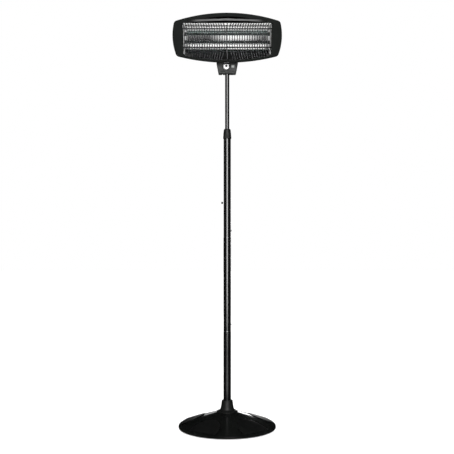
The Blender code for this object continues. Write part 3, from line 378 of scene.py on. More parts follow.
def prism(outline, start, end, along="Y"):
    """Extrude an outline: (x, z) points along Y, or (y, z) points along X."""
    bm = bmesh.new()
    loops = []
    for depth in (start, end):
        loops.append([bm.verts.new((a, depth, b) if along == "Y" else (depth, a, b)) for a, b in outline])
    bridge(bm, *loops)
    for loop in loops:
        bm.faces.new(loop)
    bmesh.ops.recalc_face_normals(bm, faces=bm.faces)
    return bm


def block(low, high):
    """Box between two corners."""
    outline = [(low[0], low[2]), (high[0], low[2]), (high[0], high[2]), (low[0], high[2])]
    return prism(outline, low[1], high[1])


def bevel(bm, width, segments=3, angle=35.0):
    """Round the sharp edges of a closed mesh."""
    sharp = [edge for edge in bm.edges if len(edge.link_faces) == 2
             and edge.calc_face_angle(0.0) > math.radians(angle)]
    bmesh.ops.bevel(bm, geom=sharp, offset=width, segments=segments, profile=0.5, affect="EDGES",
                    clamp_overlap=True)
    return bm


def boolean(target, others, operation):
    """Cut or join closed bmeshes and return the result."""
    body = scratch_object(target)
    helpers = [scratch_object(other) for other in others]
    for helper in helpers:
        modifier = body.modifiers.new("cut", "BOOLEAN")
        modifier.operation = operation
        modifier.object = helper
        modifier.solver = "EXACT"
    bpy.context.view_layer.update()
    result = bmesh.new()
    result.from_object(body, bpy.context.evaluated_depsgraph_get())
    for obj in [body] + helpers:
        mesh = obj.data
        bpy.data.objects.remove(obj)
        bpy.data.meshes.remove(mesh)
    return result


def scratch_object(bm):
    """Temporary object for a boolean."""
    bmesh.ops.recalc_face_normals(bm, faces=bm.faces)
    mesh = bpy.data.meshes.new("scratch")
    bm.to_mesh(mesh)
    bm.free()
    return into_scene("scratch", mesh)


def sweep(bm, points, radius, sides=10):
    """Add a round bar along a path, with flat ends."""
    path = [Vector(point) for point in points]
    normal = None
    loops = []
    for index, point in enumerate(path):
        along = path[min(index + 1, len(path) - 1)] - path[max(index - 1, 0)]
        along.normalize()
        if normal is None:
            normal = along.orthogonal().normalized()
        normal = (normal - along * normal.dot(along)).normalized()
        across = along.cross(normal)
        ring = []
        for step in range(sides):
            angle = 2 * math.pi * step / sides
            ring.append(bm.verts.new(point + (normal * math.cos(angle) + across * math.sin(angle)) * radius))
        loops.append(ring)
    for ring, next_ring in zip(loops, loops[1:]):
        bridge(bm, ring, next_ring)
    bm.faces.new(list(reversed(loops[0])))
    bm.faces.new(loops[-1])


def smooth_path(route, pieces):
    """Catmull-Rom curve through a route, cut into equal numbers of pieces per stretch."""
    knots = [Vector(point) for point in route]
    knots = [2 * knots[0] - knots[1]] + knots + [2 * knots[-1] - knots[-2]]
    path = []
    for index in range(1, len(knots) - 2):
        before, start, end, after = knots[index - 1:index + 3]
        for step in range(pieces):
            t = step / pieces
            bend = 2 * start + (end - before) * t + (2 * before - 5 * start + 4 * end - after) * t ** 2
            path.append(0.5 * (bend + (3 * start - before - 3 * end + after) * t ** 3))
    path.append(knots[-2])
    return path


# ------------------------------------------------------------------ materials
class Shader:
    """A Principled material with small helpers for its procedural nodes."""

    def __init__(self, name, colour, roughness, metallic=0.0, **sockets):
        self.material = bpy.data.materials.new(name)
        self.material.use_nodes = True
        self.tree = self.material.node_tree
        self.shader = self.tree.nodes["Principled BSDF"]
        self.colour = colour
        self.shader.inputs["Base Color"].default_value = (*colour, 1.0)
        self.shader.inputs["Roughness"].default_value = roughness
        self.shader.inputs["Metallic"].default_value = metallic
        for socket, value in sockets.items():
            self.shader.inputs[socket.replace("_", " ")].default_value = value

    def node(self, kind, **inputs):
        node = self.tree.nodes.new(kind)
        for socket, value in inputs.items():
            node.inputs[socket.replace("_", " ")].default_value = value
        return node

    def link(self, output, target):
        self.tree.links.new(output, target)

    def coordinates(self, stretch=EVEN):
        source = self.node("ShaderNodeTexCoord")
        mapping = self.node("ShaderNodeMapping", Scale=stretch)
        self.link(source.outputs["Object"], mapping.inputs["Vector"])
        return mapping.outputs["Vector"]

    def noise(self, scale, detail=4.0, rough=0.55, stretch=EVEN):
        noise = self.node("ShaderNodeTexNoise", Scale=scale, Detail=detail, Roughness=rough)
        self.link(self.coordinates(stretch), noise.inputs["Vector"])
        return noise.outputs["Fac"]

    def ramp(self, factor, low, high):
        ramp = self.node("ShaderNodeValToRGB")
        for element, position, colour in zip(ramp.color_ramp.elements, (0.35, 0.65), (low, high)):
            element.position = position
            element.color = (*colour, 1.0)
        self.link(factor, ramp.inputs["Fac"])
        return ramp.outputs["Color"]

    def vary_colour(self, scale, amount, stretch=EVEN):
        low = tuple(channel * (1 - amount) for channel in self.colour)
        high = tuple(min(channel * (1 + amount), 1.0) for channel in self.colour)
        self.link(self.ramp(self.noise(scale, stretch=stretch), low, high), self.shader.inputs["Base Color"])

    def vary_roughness(self, scale, low, high, stretch=EVEN):
        spread = self.node("ShaderNodeMapRange")
        for socket, value in (("From Min", 0.3), ("From Max", 0.7), ("To Min", low), ("To Max", high)):
            spread.inputs[socket].default_value = value
        self.link(self.noise(scale, 5.0, stretch=stretch), spread.inputs["Value"])
        self.link(spread.outputs["Result"], self.shader.inputs["Roughness"])

    def bump(self, factor, strength, distance=0.001):
        bump = self.node("ShaderNodeBump", Strength=strength, Distance=distance)
        self.link(factor, bump.inputs["Height"])
        self.link(bump.outputs["Normal"], self.shader.inputs["Normal"])


def finish(name, colour, roughness, tone, gloss, grain=None, metallic=0.0, rough=0.55, specular=0.5,
           **sockets):
    """A shader with its colour, roughness and surface varied by noise; see make_materials for the three."""
    shader = Shader(name, colour, roughness, metallic, Specular_IOR_Level=specular, **sockets)
    shader.vary_colour(*tone)
    shader.vary_roughness(*gloss)
    if grain:
        scale, detail, strength, depth, *stretch = grain
        shader.bump(shader.noise(scale, detail, rough, *stretch), strength, depth)
    return shader


def floor_material():
    floor = Shader("floor_paper", (0.92, 0.92, 0.92), 0.9)
    floor.vary_colour(3.0, 0.01)
    floor.bump(floor.noise(60.0), 0.05)
    return floor.material


def make_materials():
    """Every finish, by the name of its slot: base colour and roughness, then its tone, gloss and grain.

    tone is (noise scale, spread), gloss is (noise scale, lowest and highest roughness) and grain is
    (noise scale, detail, strength, depth in metres). A triple at the end stretches that noise.
    """
    rolled = (0.03, 1.0, 1.0)      # marks left along a rolled sheet
    shaders = {
        "gloss_black": finish(
            "gloss_black_plastic", (0.0060, 0.0066, 0.0062), 0.14, (9.0, 0.18), (30.0, 0.11, 0.18),
            (180.0, 1.0, 0.02, 0.0003), specular=0.45),
        "pad": finish(
            "satin_pad", (0.0085, 0.0090, 0.0087), 0.38, (22.0, 0.15), (50.0, 0.32, 0.44),
            (900.0, 3.0, 0.08, 0.0003), specular=0.30),
        "satin_black": finish(
            "satin_black_plastic", (0.0050, 0.0053, 0.0050), 0.42, (25.0, 0.15), (60.0, 0.36, 0.50),
            (1500.0, 3.0, 0.12, 0.0003), specular=0.24),
        "charcoal": finish(
            "grained_charcoal_plastic", (0.0040, 0.0048, 0.0043), 0.55, (18.0, 0.10), (90.0, 0.50, 0.62),
            (1900.0, 3.0, 0.22, 0.0003), rough=0.6, specular=0.045),
        "hood": finish(
            "polished_hood_plastic", (0.0070, 0.0075, 0.0072), 0.24, (30.0, 0.12), (25.0, 0.20, 0.30),
            (500.0, 2.0, 0.05, 0.0003), specular=0.62),
        "painted_tube": finish(
            "powder_coated_tube", (0.0030, 0.0030, 0.0030), 0.17, (14.0, 0.15, (1.0, 1.0, 0.15)),
            (26.0, 0.14, 0.21, (1.0, 1.0, 0.3)), (700.0, 2.0, 0.10, 0.0004), specular=1.0),
        "bare_steel": finish(
            "zinc_plated_steel", (0.50, 0.51, 0.52), 0.34, (120.0, 0.12), (160.0, 0.26, 0.44),
            (900.0, 3.0, 0.10, 0.0003), 1.0),
        "chrome": finish(
            "bright_chrome", (0.86, 0.86, 0.87), 0.12, (40.0, 0.04), (90.0, 0.08, 0.20),
            (600.0, 2.0, 0.01, 0.0002), 1.0),
        "mirror_sheet": finish(
            "polished_reflector_sheet", (0.84, 0.84, 0.83), 0.06, (30.0, 0.05, (0.2, 1.0, 1.0)),
            (220.0, 0.02, 0.05, rolled), (500.0, 3.0, 0.02, 0.0001, rolled), 1.0),
        "sheet_slope": finish(
            "brushed_sheet_slope", (0.84, 0.84, 0.83), 0.26, (30.0, 0.05, (0.2, 1.0, 1.0)),
            (220.0, 0.22, 0.30, rolled), (500.0, 3.0, 0.02, 0.0001, rolled), 1.0),
        # near-white and barely metallic: painted reflection in place of the polished sheet's shine
        "sheet_end": finish(
            "satin_end_plate", (0.88, 0.88, 0.87), 0.45, (30.0, 0.05), (120.0, 0.38, 0.52),
            (500.0, 3.0, 0.03, 0.0001), 0.15),
        # a darker copy of the mirror sheet: painted shade on the reflector's lower lip
        "sheet_lip": finish(
            "brushed_sheet_lip", (0.28, 0.28, 0.28), 0.36, (40.0, 0.18, (0.1, 1.0, 1.0)),
            (220.0, 0.30, 0.44, rolled), (500.0, 3.0, 0.08, 0.0002, rolled), 1.0),
        "cast_iron": finish(
            "painted_cast_iron", (0.030, 0.030, 0.031), 0.62, (80.0, 0.35), (200.0, 0.50, 0.80),
            (500.0, 6.0, 0.6, 0.0006), 0.1, 0.7),
        "rubber": finish(
            "moulded_rubber", (0.020, 0.020, 0.020), 0.85, (60.0, 0.25), (120.0, 0.75, 0.95),
            (1200.0, 4.0, 0.25, 0.0003), specular=0.25),
        "quartz": finish(
            "smoky_quartz_glass", (0.30, 0.37, 0.35), 0.06, (60.0, 0.03, (0.1, 1.0, 1.0)),
            (50.0, 0.03, 0.12, (0.1, 1.0, 1.0)), (200.0, 2.0, 0.05, 0.0003, (0.05, 1.0, 1.0)),
            Transmission_Weight=1.0, IOR=1.30),
        "heating_wire": finish(
            "oxidised_heating_wire", (0.16, 0.15, 0.145), 0.42, (300.0, 0.30), (400.0, 0.34, 0.56),
            (2500.0, 3.0, 0.2, 0.0001), 1.0),
        "ceramic": finish(
            "dark_steatite_ceramic", (0.030, 0.030, 0.029), 0.60, (160.0, 0.10), (300.0, 0.52, 0.70),
            (1400.0, 4.0, 0.25, 0.0003), specular=0.2),
        "white_nylon": finish(
            "white_nylon", (0.80, 0.80, 0.79), 0.50, (90.0, 0.05), (200.0, 0.44, 0.58),
            (1300.0, 3.0, 0.12, 0.0003)),
        "braid": finish(
            "braided_cord", (0.82, 0.82, 0.80), 0.75, (2600.0, 0.12, (1.0, 1.0, 0.45)),
            (1500.0, 0.68, 0.85), Sheen_Weight=0.25),
        "painted_steel": finish(
            "painted_steel_shell", (0.0070, 0.0076, 0.0073), 0.40, (16.0, 0.14), (45.0, 0.34, 0.48),
            (900.0, 3.0, 0.16, 0.0004), specular=0.40),
        # near-black with almost no gloss: painted shade, used in the hood's shadowed pocket and along the
        # shadowed edge above the opening
        "lens": finish(
            "dark_lens", (0.0012, 0.0012, 0.0012), 0.12, (40.0, 0.20), (60.0, 0.10, 0.18),
            (300.0, 2.0, 0.03, 0.0002), specular=0.02),
        "guard_wire": finish(
            "plated_guard_wire", (0.30, 0.30, 0.31), 0.22, (120.0, 0.12), (150.0, 0.16, 0.30),
            (1200.0, 2.0, 0.08, 0.0002), 1.0),
        # near-black rails: painted shade on rails of the same plated wire as the guard
        "guard_rail": finish(
            "dark_guard_rail", (0.025, 0.025, 0.025), 0.35, (120.0, 0.15), (150.0, 0.28, 0.42),
            (1200.0, 2.0, 0.08, 0.0002), 1.0),
        "bracket": finish(
            "moulded_bracket_plastic", (0.0085, 0.0095, 0.0090), 0.44, (70.0, 0.35), (90.0, 0.34, 0.58),
            (260.0, 3.0, 0.25, 0.0006), specular=0.22),
        "patch": finish(
            "blank_plate", (0.150, 0.160, 0.155), 0.45, (260.0, 0.25), (200.0, 0.36, 0.56),
            (700.0, 3.0, 0.15, 0.0003), 0.2),
    }
    braid = shaders["braid"]
    weave = braid.node("ShaderNodeTexWave", Scale=210.0, Distortion=1.5, Detail=2.0)
    weave.bands_direction = "DIAGONAL"
    braid.link(braid.coordinates(), weave.inputs["Vector"])
    braid.bump(weave.outputs["Fac"], 0.6, 0.0003)
    return {slot: shader.material for slot, shader in shaders.items()}


def dress_cad_nodes():
    """Give every CAD node the scene's material of its slot; pieces made below then replace most of them."""
    slots = {part["node"]: part["material_slot"] for part in frame["record"]["subparts"]}
    for name, obj in frame["nodes"].items():
        for material_slot in obj.material_slots:
            material_slot.material = MATERIALS["bracket" if name.startswith("bracket_") else slots[name]]


# ------------------------------------------------------------------ base
def dome_height(radius):
    """Height of the cover's skin between its pads."""
    along = (SHOULDER_RADIUS - radius) / (SHOULDER_RADIUS - HOLE_RADIUS)
    crown = DOME_CROWN * math.sin(math.pi * min(max(along, 0.0), 1.0))
    return RIM_TOP + (SHOULDER_RADIUS - radius) * DOME_SLOPE + crown


def pad_inside(radius, azimuth):
    """Distance inside the edge of the nearest pad; negative outside it."""
    nearest = -1.0
    for pad in PAD_AZIMUTHS:
        turn = (azimuth - math.radians(pad) + math.pi) % (2 * math.pi) - math.pi
        if abs(turn) > 1.2:
            continue
        side = radius * math.sin(turn)
        reach = math.hypot(radius * math.cos(turn), math.sqrt(0.35) * side)
        rise = (PAD_OUTER - reach) / (PAD_OUTER - PAD_INNER)
        half_width = PAD_HALF_WIDTH * math.sqrt(max(1 - rise ** 2, 0.0))
        nearest = max(nearest, min(half_width - abs(side), PAD_OUTER - reach, 1.4 * (reach - PAD_INNER)))
    return nearest


def pad_lift(inside):
    """Height of the skin against the dome: a fine groove round a pad, then its step up."""
    t = min(max(inside / 0.0026, 0.0), 1.0)
    groove = max(1 - abs(inside + 0.0008) / 0.0024, 0.0)
    return PAD_STEP * t * t * (3 - 2 * t) - 0.0022 * groove * groove * (3 - 2 * groove)


def base_cover():
    """The domed cover with its five raised pads, rolled rim and inner skin."""
    segments = 720
    top_rings = 190
    bm = bmesh.new()
    profile = []
    for step in range(top_rings + 1):
        radius = HOLE_RADIUS + (SHOULDER_RADIUS - HOLE_RADIUS) * step / top_rings
        profile.append((radius, dome_height(radius), True))
    rim = [(SHOULDER_RADIUS, RIM_TOP), (BASE_RADIUS, 0.0138), (BASE_RADIUS, 0.0066), (0.2322, 0.0040),
           (0.2292, 0.0040), (0.2296, 0.0125)]
    profile += [(radius, height, False) for radius, height in fillet(rim, 0.0022, 5, closed=False)[1:]]
    for radius in (0.205, 0.160, 0.110, 0.060, 0.030, HOLE_RADIUS):
        profile.append((radius, dome_height(radius) - BASE_SKIN, False))
    rings = []
    for radius, height, top in profile:
        ring = []
        for step in range(segments):
            azimuth = 2 * math.pi * step / segments
            lift = pad_lift(pad_inside(radius, azimuth)) if top else 0.0
            place = (radius * math.sin(azimuth), -radius * math.cos(azimuth), height + lift)
            ring.append(bm.verts.new(place))
        rings.append(ring)
    for ring, next_ring in zip(rings, rings[1:] + rings[:1]):
        bridge(bm, ring, next_ring)
    bm.faces.ensure_lookup_table()
    for face in bm.faces[:segments * top_rings]:
        middle = face.calc_center_median()
        inside = pad_inside(math.hypot(middle.x, middle.y), math.atan2(middle.x, -middle.y))
        face.material_index = 1 if inside > 0.0020 else 0
    cover = new_piece("base_cover_skin", bm, [MATERIALS["gloss_black"], MATERIALS["pad"]], smooth_angle=50.0)
    publish(cover, "stand", "gloss_black", "base_cover")


def base_collar():
    """Conical collar on the crown of the base, round the foot of the post."""
    bore = 0.01865
    outside = [(bore, 0.1350), (0.0238, 0.1350), (0.0262, 0.1338), (0.0268, 0.1300), (0.0266, 0.1282),
               (0.0272, 0.1265), (0.0290, 0.1130), (0.0316, 0.0985), (0.0345, 0.0905), (0.0400, 0.0866),
               (0.0490, 0.0836), (0.0512, 0.0818), (0.0510, dome_height(0.0512) + 0.0006),
               (0.0440, dome_height(0.0440) + 0.0006)]
    inside = [(0.0325, 0.0885), (0.0290, 0.0980), (0.0260, 0.1130), (0.0235, 0.1300), (bore, 0.1318)]
    add("base_collar_cone", lathe(fillet(outside + inside, 0.0030, 4), 96), "satin_black",
        "stand", "satin_black", "base_collar", smooth_angle=50.0)


def base_underside():
    """Pressed base plate with rings, and ribbed rubber feet."""
    low = 0.0063
    top = low + 0.0016
    raised = low + 0.0012
    edge = 0.222
    below = [(0.0045, low), (0.030, low), (0.034, low), (0.060, low), (0.064, raised), (0.092, raised),
             (0.096, low), (0.150, low), (0.154, raised), (0.168, raised), (0.172, low), (edge, low)]
    profile = below + [(edge, top), (0.0045, top)]
    add("base_plate_pressing", lathe(fillet(profile, 0.0012, 2), 128), "bare_steel",
        "stand", "bare_steel", "base_plate")
    foot = [(0, 0.0006), (0.0040, 0.0006), (0.0048, 0), (0.0108, 0), (0.0130, 0.0016), (0.0124, 0.0060),
            (0, 0.0060)]
    for number, azimuth in enumerate(PAD_AZIMUTHS, 1):
        angle = math.radians(azimuth)
        place = (FOOT_CIRCLE * math.sin(angle), -FOOT_CIRCLE * math.cos(angle), 0)
        add(f"foot_{number}", lathe(fillet(foot, 0.0008, 3, closed=False), 48), "rubber",
            "stand", "rubber", f"base_foot_{number}", matrix=Matrix.Translation(place))


# ------------------------------------------------------------------ stand
def stand_tubes():
    """The three painted tubes of the post."""
    for name, (radius, low, high) in TUBES.items():
        profile = tube_profile(radius - TUBE_WALL, radius, low, high)
        add(f"{name}_coated", lathe(profile, 128), "painted_tube", "stand", "painted_tube", name)


def cut_cross(head, arm, half, floor, top):
    """Cut a cross recess into a screw's head."""
    cuts = [block((-arm, -half, floor), (arm, half, top)), block((-half, -arm, floor), (half, arm, top))]
    return boolean(head, cuts, "DIFFERENCE")


def screw(name, body, axis, place, radius, height, depth, node):
    """A pan-head screw with a cross recess; its shank goes back from the head's seat."""
    shank = 0.55 * radius
    profile = [(0, -depth), (shank, -depth), (shank, 0), (radius, 0), (radius, 0.35 * height),
               (0.62 * radius, 0.86 * height), (0, height)]
    head = lathe(fillet(profile, 0.22 * radius, 3, closed=False), 40)
    head = cut_cross(head, 0.62 * radius, 0.11 * radius, 0.45 * height, 2 * height)
    add(name, head, "bare_steel", body, "bare_steel", node, matrix=along_axis(axis, place))


def joint_screws():
    """The screws just above the two tube joints, on the right."""
    for name, (surface, height) in JOINT_SCREWS.items():
        screw(f"post_screw_{name}", "stand", "X", (surface, 0, height), 0.0042, 0.0037, 0.0055,
              f"joint_screw_{name}")


def twist_collar():
    """Twist-lock collar with shallow grip flutes on its lower band."""
    bore = 0.01075
    outside = [(0.0177, 1.3955), (0.0194, 1.3955), (0.0199, 1.3966), (0.0199, 1.4062), (0.0190, 1.4076),
               (0.0188, 1.4180), (0.0168, 1.4365), (0.0150, 1.4420), (0.0128, 1.4435), (bore, 1.4435),
               (bore, 1.4400), (0.0140, 1.4360), (0.0155, 1.4100), (0.0177, 1.4100)]

    def flutes(radius, height, angle):
        if radius < 0.0182 or not 1.397 < height < 1.4345:
            return 0.0
        return -0.00045 * (0.5 + 0.5 * math.cos(24 * angle)) ** 2

    bm = lathe(densify(fillet(outside, 0.0012, 3), 0.0016), 192, flutes)
    add("lock_collar_fluted", bm, "satin_black", "lock_collar", "satin_black", "lock_collar",
        smooth_angle=45.0)


# ------------------------------------------------------------------ mast and bracket
def mast_tube():
    """The thin tube that slides in the post."""
    profile = tube_profile(MAST_RADIUS - TUBE_WALL, MAST_RADIUS, 1.245, 1.733)
    add("mast_tube_coated", lathe(profile, 96), "painted_tube", "mast", "painted_tube", "mast_tube")


def bracket_trim():
    """Details on the bracket's front: the dark lip round the plate, a blank plate and two ribs."""
    lip = bmesh.new()
    reach = 0.0195
    points = [(-reach, 0.0195), (-reach, 0.004), (-0.0155, -0.0085), (0.0, -0.0212), (0.0155, -0.0085),
              (reach, 0.004), (reach, 0.0195)]
    line = smooth_path([(BOLT.x + x, BRACKET_FRONT - 0.0002, BOLT.z + z) for x, z in points], 6)
    sweep(lip, line, 0.0013, 10)
    add("plate_lip", lip, "hood", "mast", "satin_black")

    outline = fillet([(0.0205, 1.7365), (0.0340, 1.7365), (0.0345, 1.7495), (0.0205, 1.7495)], 0.0016, 4)
    plate = bevel(prism(outline, BRACKET_FRONT - 0.0007, BRACKET_FRONT + 0.0004), 0.0002, 2, 60.0)
    add("blank_plate", plate, "patch", "mast", "charcoal")

    ribs = bmesh.new()
    for side in (-1, 1):
        points = [(0.036, 0.0, 1.7125), (0.030, 0.0002, 1.7185), (0.016, 0.0002, 1.7195),
                  (0.006, 0.0, 1.7125)]
        line = smooth_path([(side * x, BRACKET_FRONT - out, z) for x, out, z in points], 6)
        sweep(ribs, line, 0.0008, 8)
    add("bracket_ribs", ribs, "charcoal", "mast", "charcoal")


def clamp_plate():
    """Bright plate under the bolt: round below, flat above, with the bolt's dark head in its hole."""
    radius = 0.0160
    angles = [math.pi + math.pi * step / 40 for step in range(41)]
    outline = [(radius * math.cos(angle), radius * math.sin(angle)) for angle in angles]
    outline += [(radius, 0.0110), (radius - 0.0035, 0.0135), (0.0035 - radius, 0.0135), (-radius, 0.0110)]
    plate = bevel(prism(outline, BRACKET_FRONT - 0.0032, BRACKET_FRONT - 0.0003), 0.0007, 3, 60.0)
    hole = lathe([(0, -0.03), (0.0062, -0.03), (0.0062, 0.0), (0, 0.0)], 64)
    hole.transform(along_axis("Y"))
    plate = boolean(plate, [hole], "DIFFERENCE")
    at_bolt = Matrix.Translation(BOLT)
    add("clamp_plate_bright", plate, "chrome", "mast", "chrome", "clamp_plate", matrix=at_bolt)

    neck = prism([(BRACKET_FRONT - 0.0030, 0.0130), (BRACKET_FRONT - 0.0010, 0.0215),
                  (BRACKET_FRONT + 0.0006, 0.0215), (BRACKET_FRONT - 0.0012, 0.0125)], -0.0145, 0.0145, "X")
    add("clamp_plate_neck", bevel(neck, 0.0004, 2, 60.0), "bare_steel", "mast", "chrome", "clamp_plate",
        matrix=at_bolt)

    seat = BRACKET_FRONT - 0.0003
    front = BRACKET_FRONT - 0.0030
    profile = [(0, front + 0.0018), (0.0023, front + 0.0018), (0.0026, front), (0.0052, front),
               (0.0058, front + 0.0006), (0.0058, seat), (0.0030, seat), (0.0030, 0.0375), (0.0025, 0.0380),
               (0, 0.0380)]
    add("clamp_bolt_dark", lathe(fillet(profile, 0.0003, 2, closed=False), 48), "painted_steel",
        "mast", "bare_steel", "clamp_bolt", matrix=along_axis("Y", BOLT))


def tilt_knob():
    """Six-lobed knob at the back of the clamp bolt, blind outside and hollow towards the bracket."""
    start = BRACKET_BACK + 0.0008
    bore = 0.0033
    outside = [(bore, start), (0.0100, start), (0.0106, start + 0.004), (0.0168, start + 0.0058),
               (0.0176, start + 0.0075), (0.0176, start + 0.0138), (0.0160, start + 0.0168),
               (0.0090, start + 0.0172), (0.0080, start + 0.0160)]
    inside = [(0, start + 0.0160), (0, 0.0386), (bore, 0.0386)]

    def lobes(radius, height, angle):
        if radius < 0.0140:
            return 0.0
        return -0.0019 * (0.5 - 0.5 * math.cos(6 * angle)) ** 1.5

    bm = lathe(densify(fillet(outside, 0.0012, 4, closed=False), 0.0012) + inside, 180, lobes)
    add("tilt_knob_lobed", bm, "satin_black", "tilt_knob", "satin_black", "tilt_knob",
        matrix=along_axis("Y", (BOLT.x, 0, BOLT.z)), smooth_angle=45.0)


def bracket_screws():
    """The two screws at the back that join the bracket's halves."""
    for name, side in (("left", -1), ("right", 1)):
        place = (side * 0.0415, BRACKET_BACK + 0.0003, 1.7490)
        screw(f"shell_screw_{name}", "mast", "Y", place, 0.0034, 0.0022, 0.030, f"bracket_screw_{name}")


# ------------------------------------------------------------------ pull cord
CORD_ROUTE = [
    (-0.0225, -0.0115, 1.7192), (-0.0225, -0.0115, 1.7000), (-0.0224, -0.0117, 1.6500),
    (-0.0225, -0.0120, 1.6000), (-0.0227, -0.0124, 1.5500), (-0.0230, -0.0128, 1.5000),
    (-0.0235, -0.0132, 1.4500), (-0.0243, -0.0136, 1.4000), (-0.0253, -0.0140, 1.3500),
    (-0.0264, -0.0143, 1.3000), (-0.0274, -0.0146, 1.2500), (-0.0280, -0.0148, 1.2000),
    (-0.0279, -0.0149, 1.1600), (-0.0269, -0.0150, 1.1250), (-0.0254, -0.0150, 1.1040),
    (-0.0243, -0.0150, 1.0920),
]


def pull_cord():
    """The braided cord with its turned bead, and the bush that it runs through."""
    path = smooth_path(CORD_ROUTE, 8)
    curve = bpy.data.curves.new("pull_cord_braid", "CURVE")
    curve.dimensions = "3D"
    curve.bevel_depth = CORD_RADIUS
    curve.bevel_resolution = 4
    curve.use_fill_caps = True
    spline = curve.splines.new("POLY")
    spline.points.add(len(path) - 1)
    for point, place in zip(spline.points, path):
        point.co = (*place, 1.0)
    spline.use_smooth = True
    curve.materials.append(MATERIALS["braid"])
    cord = into_scene("pull_cord_braid", curve)
    publish(cord, "pull_switch", "white_nylon", "pull_cord")

    low = BEAD.z - 0.0105
    profile = [(0, low), (0.0020, low), (0.0036, low + 0.0010), (0.0046, low + 0.0040),
               (0.0046, low + 0.0060), (0.0036, BEAD.z - 0.0022), (0.0020, BEAD.z - 0.0008), (0.0016, BEAD.z),
               (0, BEAD.z)]
    bead = add("cord_bead_turned", lathe(fillet(profile, 0.0010, 4, closed=False), 48), "satin_black",
               "pull_switch", "satin_black", "cord_bead", matrix=Matrix.Translation((BEAD.x, BEAD.y, 0)))

    bush = [(0.0014, 1.7055), (0.0032, 1.7055), (0.0042, 1.7063), (0.0042, 1.7077), (0.0031, 1.7077),
            (0.0031, 1.7112), (0.0014, 1.7112)]
    add("cord_bush_ring", lathe(fillet(bush, 0.0004, 3), 48), "satin_black",
        "mast", "satin_black", "cord_bush", matrix=Matrix.Translation((CORD_EXIT.x, CORD_EXIT.y, 0)))


# ------------------------------------------------------------------ head
def arc_drop(distance, radius):
    """How far an arc falls below its crown at a distance from it."""
    return radius - math.sqrt(radius ** 2 - distance ** 2)


def evenly(start, end, pieces):
    """Values from start to end, both included."""
    return [start + (end - start) * step / pieces for step in range(pieces + 1)]


def rounded_corner(start, corner, end, steps=6):
    """Points of a curve from start to end that the corner pulls out, without its two ends."""
    points = []
    for step in range(1, steps):
        t = step / steps
        points.append(tuple((1 - t) ** 2 * a + 2 * t * (1 - t) * b + t ** 2 * c
                            for a, b, c in zip(start, corner, end)))
    return points


def head_outline(half_width, up, down, bow=1.0, across=28, along=18):
    """Closed outline of (u, up) points: bowed top and bottom, bowed ends and rounded corners."""
    top_arc = TOP_ARC / bow
    bottom_arc = BOTTOM_ARC / bow
    corners = {}
    for sign, reach, arc in ((1, up, top_arc), (-1, down, bottom_arc)):
        u = half_width
        for _ in range(12):
            v = sign * (reach - arc_drop(u, arc))
            u = half_width - arc_drop(v - SIDE_ARC_CENTRE, SIDE_ARC)
        corners[sign] = (u, v)
    half = [(u, up - arc_drop(u, top_arc)) for u in evenly(0.0, corners[1][0] - CORNER_REACH, across)]
    side = [(half_width - arc_drop(v - SIDE_ARC_CENTRE, SIDE_ARC), v)
            for v in evenly(corners[1][1] - CORNER_REACH, corners[-1][1] + CORNER_REACH, along)]
    bottom = [(u, arc_drop(u, bottom_arc) - down) for u in evenly(corners[-1][0] - CORNER_REACH, 0.0, across)]
    half += rounded_corner(half[-1], corners[1], side[0]) + side
    half += rounded_corner(side[-1], corners[-1], bottom[0]) + bottom
    return half + [(-u, v) for u, v in reversed(half[1:-1])]


def pan(outer, inner):
    """A tray from two stacks of (depth, outline), each from the rim to the floor."""
    bm = bmesh.new()
    stacks = [[[bm.verts.new((u, depth, v)) for u, v in outline] for depth, outline in stack]
              for stack in (outer, inner)]
    for loops in stacks:
        for loop, next_loop in zip(loops, loops[1:]):
            bridge(bm, loop, next_loop)
        bm.faces.new(loops[-1])
    bridge(bm, stacks[0][0], stacks[1][0])
    bmesh.ops.recalc_face_normals(bm, faces=bm.faces)
    return bm


def window_low(u):
    """Height of the opening's bowed lower edge at u."""
    half, low = WINDOW_CORNER
    return low + (WINDOW_BOTTOM - low) * (1 - min(abs(u) / half, 1.0) ** 2)


def window_outline(grow=0.0):
    """Outline of the opening: flared at the top corners and bowed below, with small corner radii."""
    corner = WINDOW_CORNER[0] + grow
    right = [(WINDOW_HALF_TOP + grow, WINDOW_TOP + grow), (WINDOW_HALF + grow, WINDOW_KNEE),
             (WINDOW_HALF + grow, WINDOW_SIDE_END)]
    steps = 24
    for step in range(steps + 1):
        along = 1 - step / steps
        right.append((corner * along, window_low(WINDOW_CORNER[0] * along) - grow))
    left = [(-u, v) for u, v in reversed(right[:-1])]
    return fillet(right + left, 0.0030, 4)


def hood_step(u):
    """Depth of the sloped band above the opening at u."""
    return 0.0036 * max(1 - (abs(u) / HOOD_HALF) ** 4, 0.0)


def ribbon(half, pieces, corners_at):
    """A bar across the head whose four (up, depth) corners are given by a function of u."""
    bm = bmesh.new()
    loops = [[bm.verts.new((u, b, v)) for v, b in corners_at(u)] for u in evenly(-half, half, pieces)]
    for loop, next_loop in zip(loops, loops[1:]):
        bridge(bm, loop, next_loop)
    bm.faces.new(loops[0])
    bm.faces.new(loops[-1])
    return bm


def band_cut_corners(u):
    """Section of the cutter for the sloped band, which faces up towards the light."""
    rise = arc_drop(u, HOOD_ARC)
    low = HOOD_BAND[0] - rise
    high = HOOD_BAND[1] - rise
    return [(low, -0.010), (low, -0.0001), (high, hood_step(u) + 0.00002), (high + 0.0006, -0.010)]


def strip_corners(u):
    """Section of the polished strip that lies in the sloped band."""
    rise = arc_drop(u, HOOD_ARC)
    depth = hood_step(u)
    foot = (HOOD_BAND[0] - rise + 0.0004, 0.03 * depth)
    head = (HOOD_BAND[1] - rise - 0.0003, 0.97 * depth)
    return [(foot[0], foot[1] - 0.0004), (head[0], head[1] - 0.0004), (head[0], head[1] + 0.0003),
            (foot[0], foot[1] + 0.0003)]


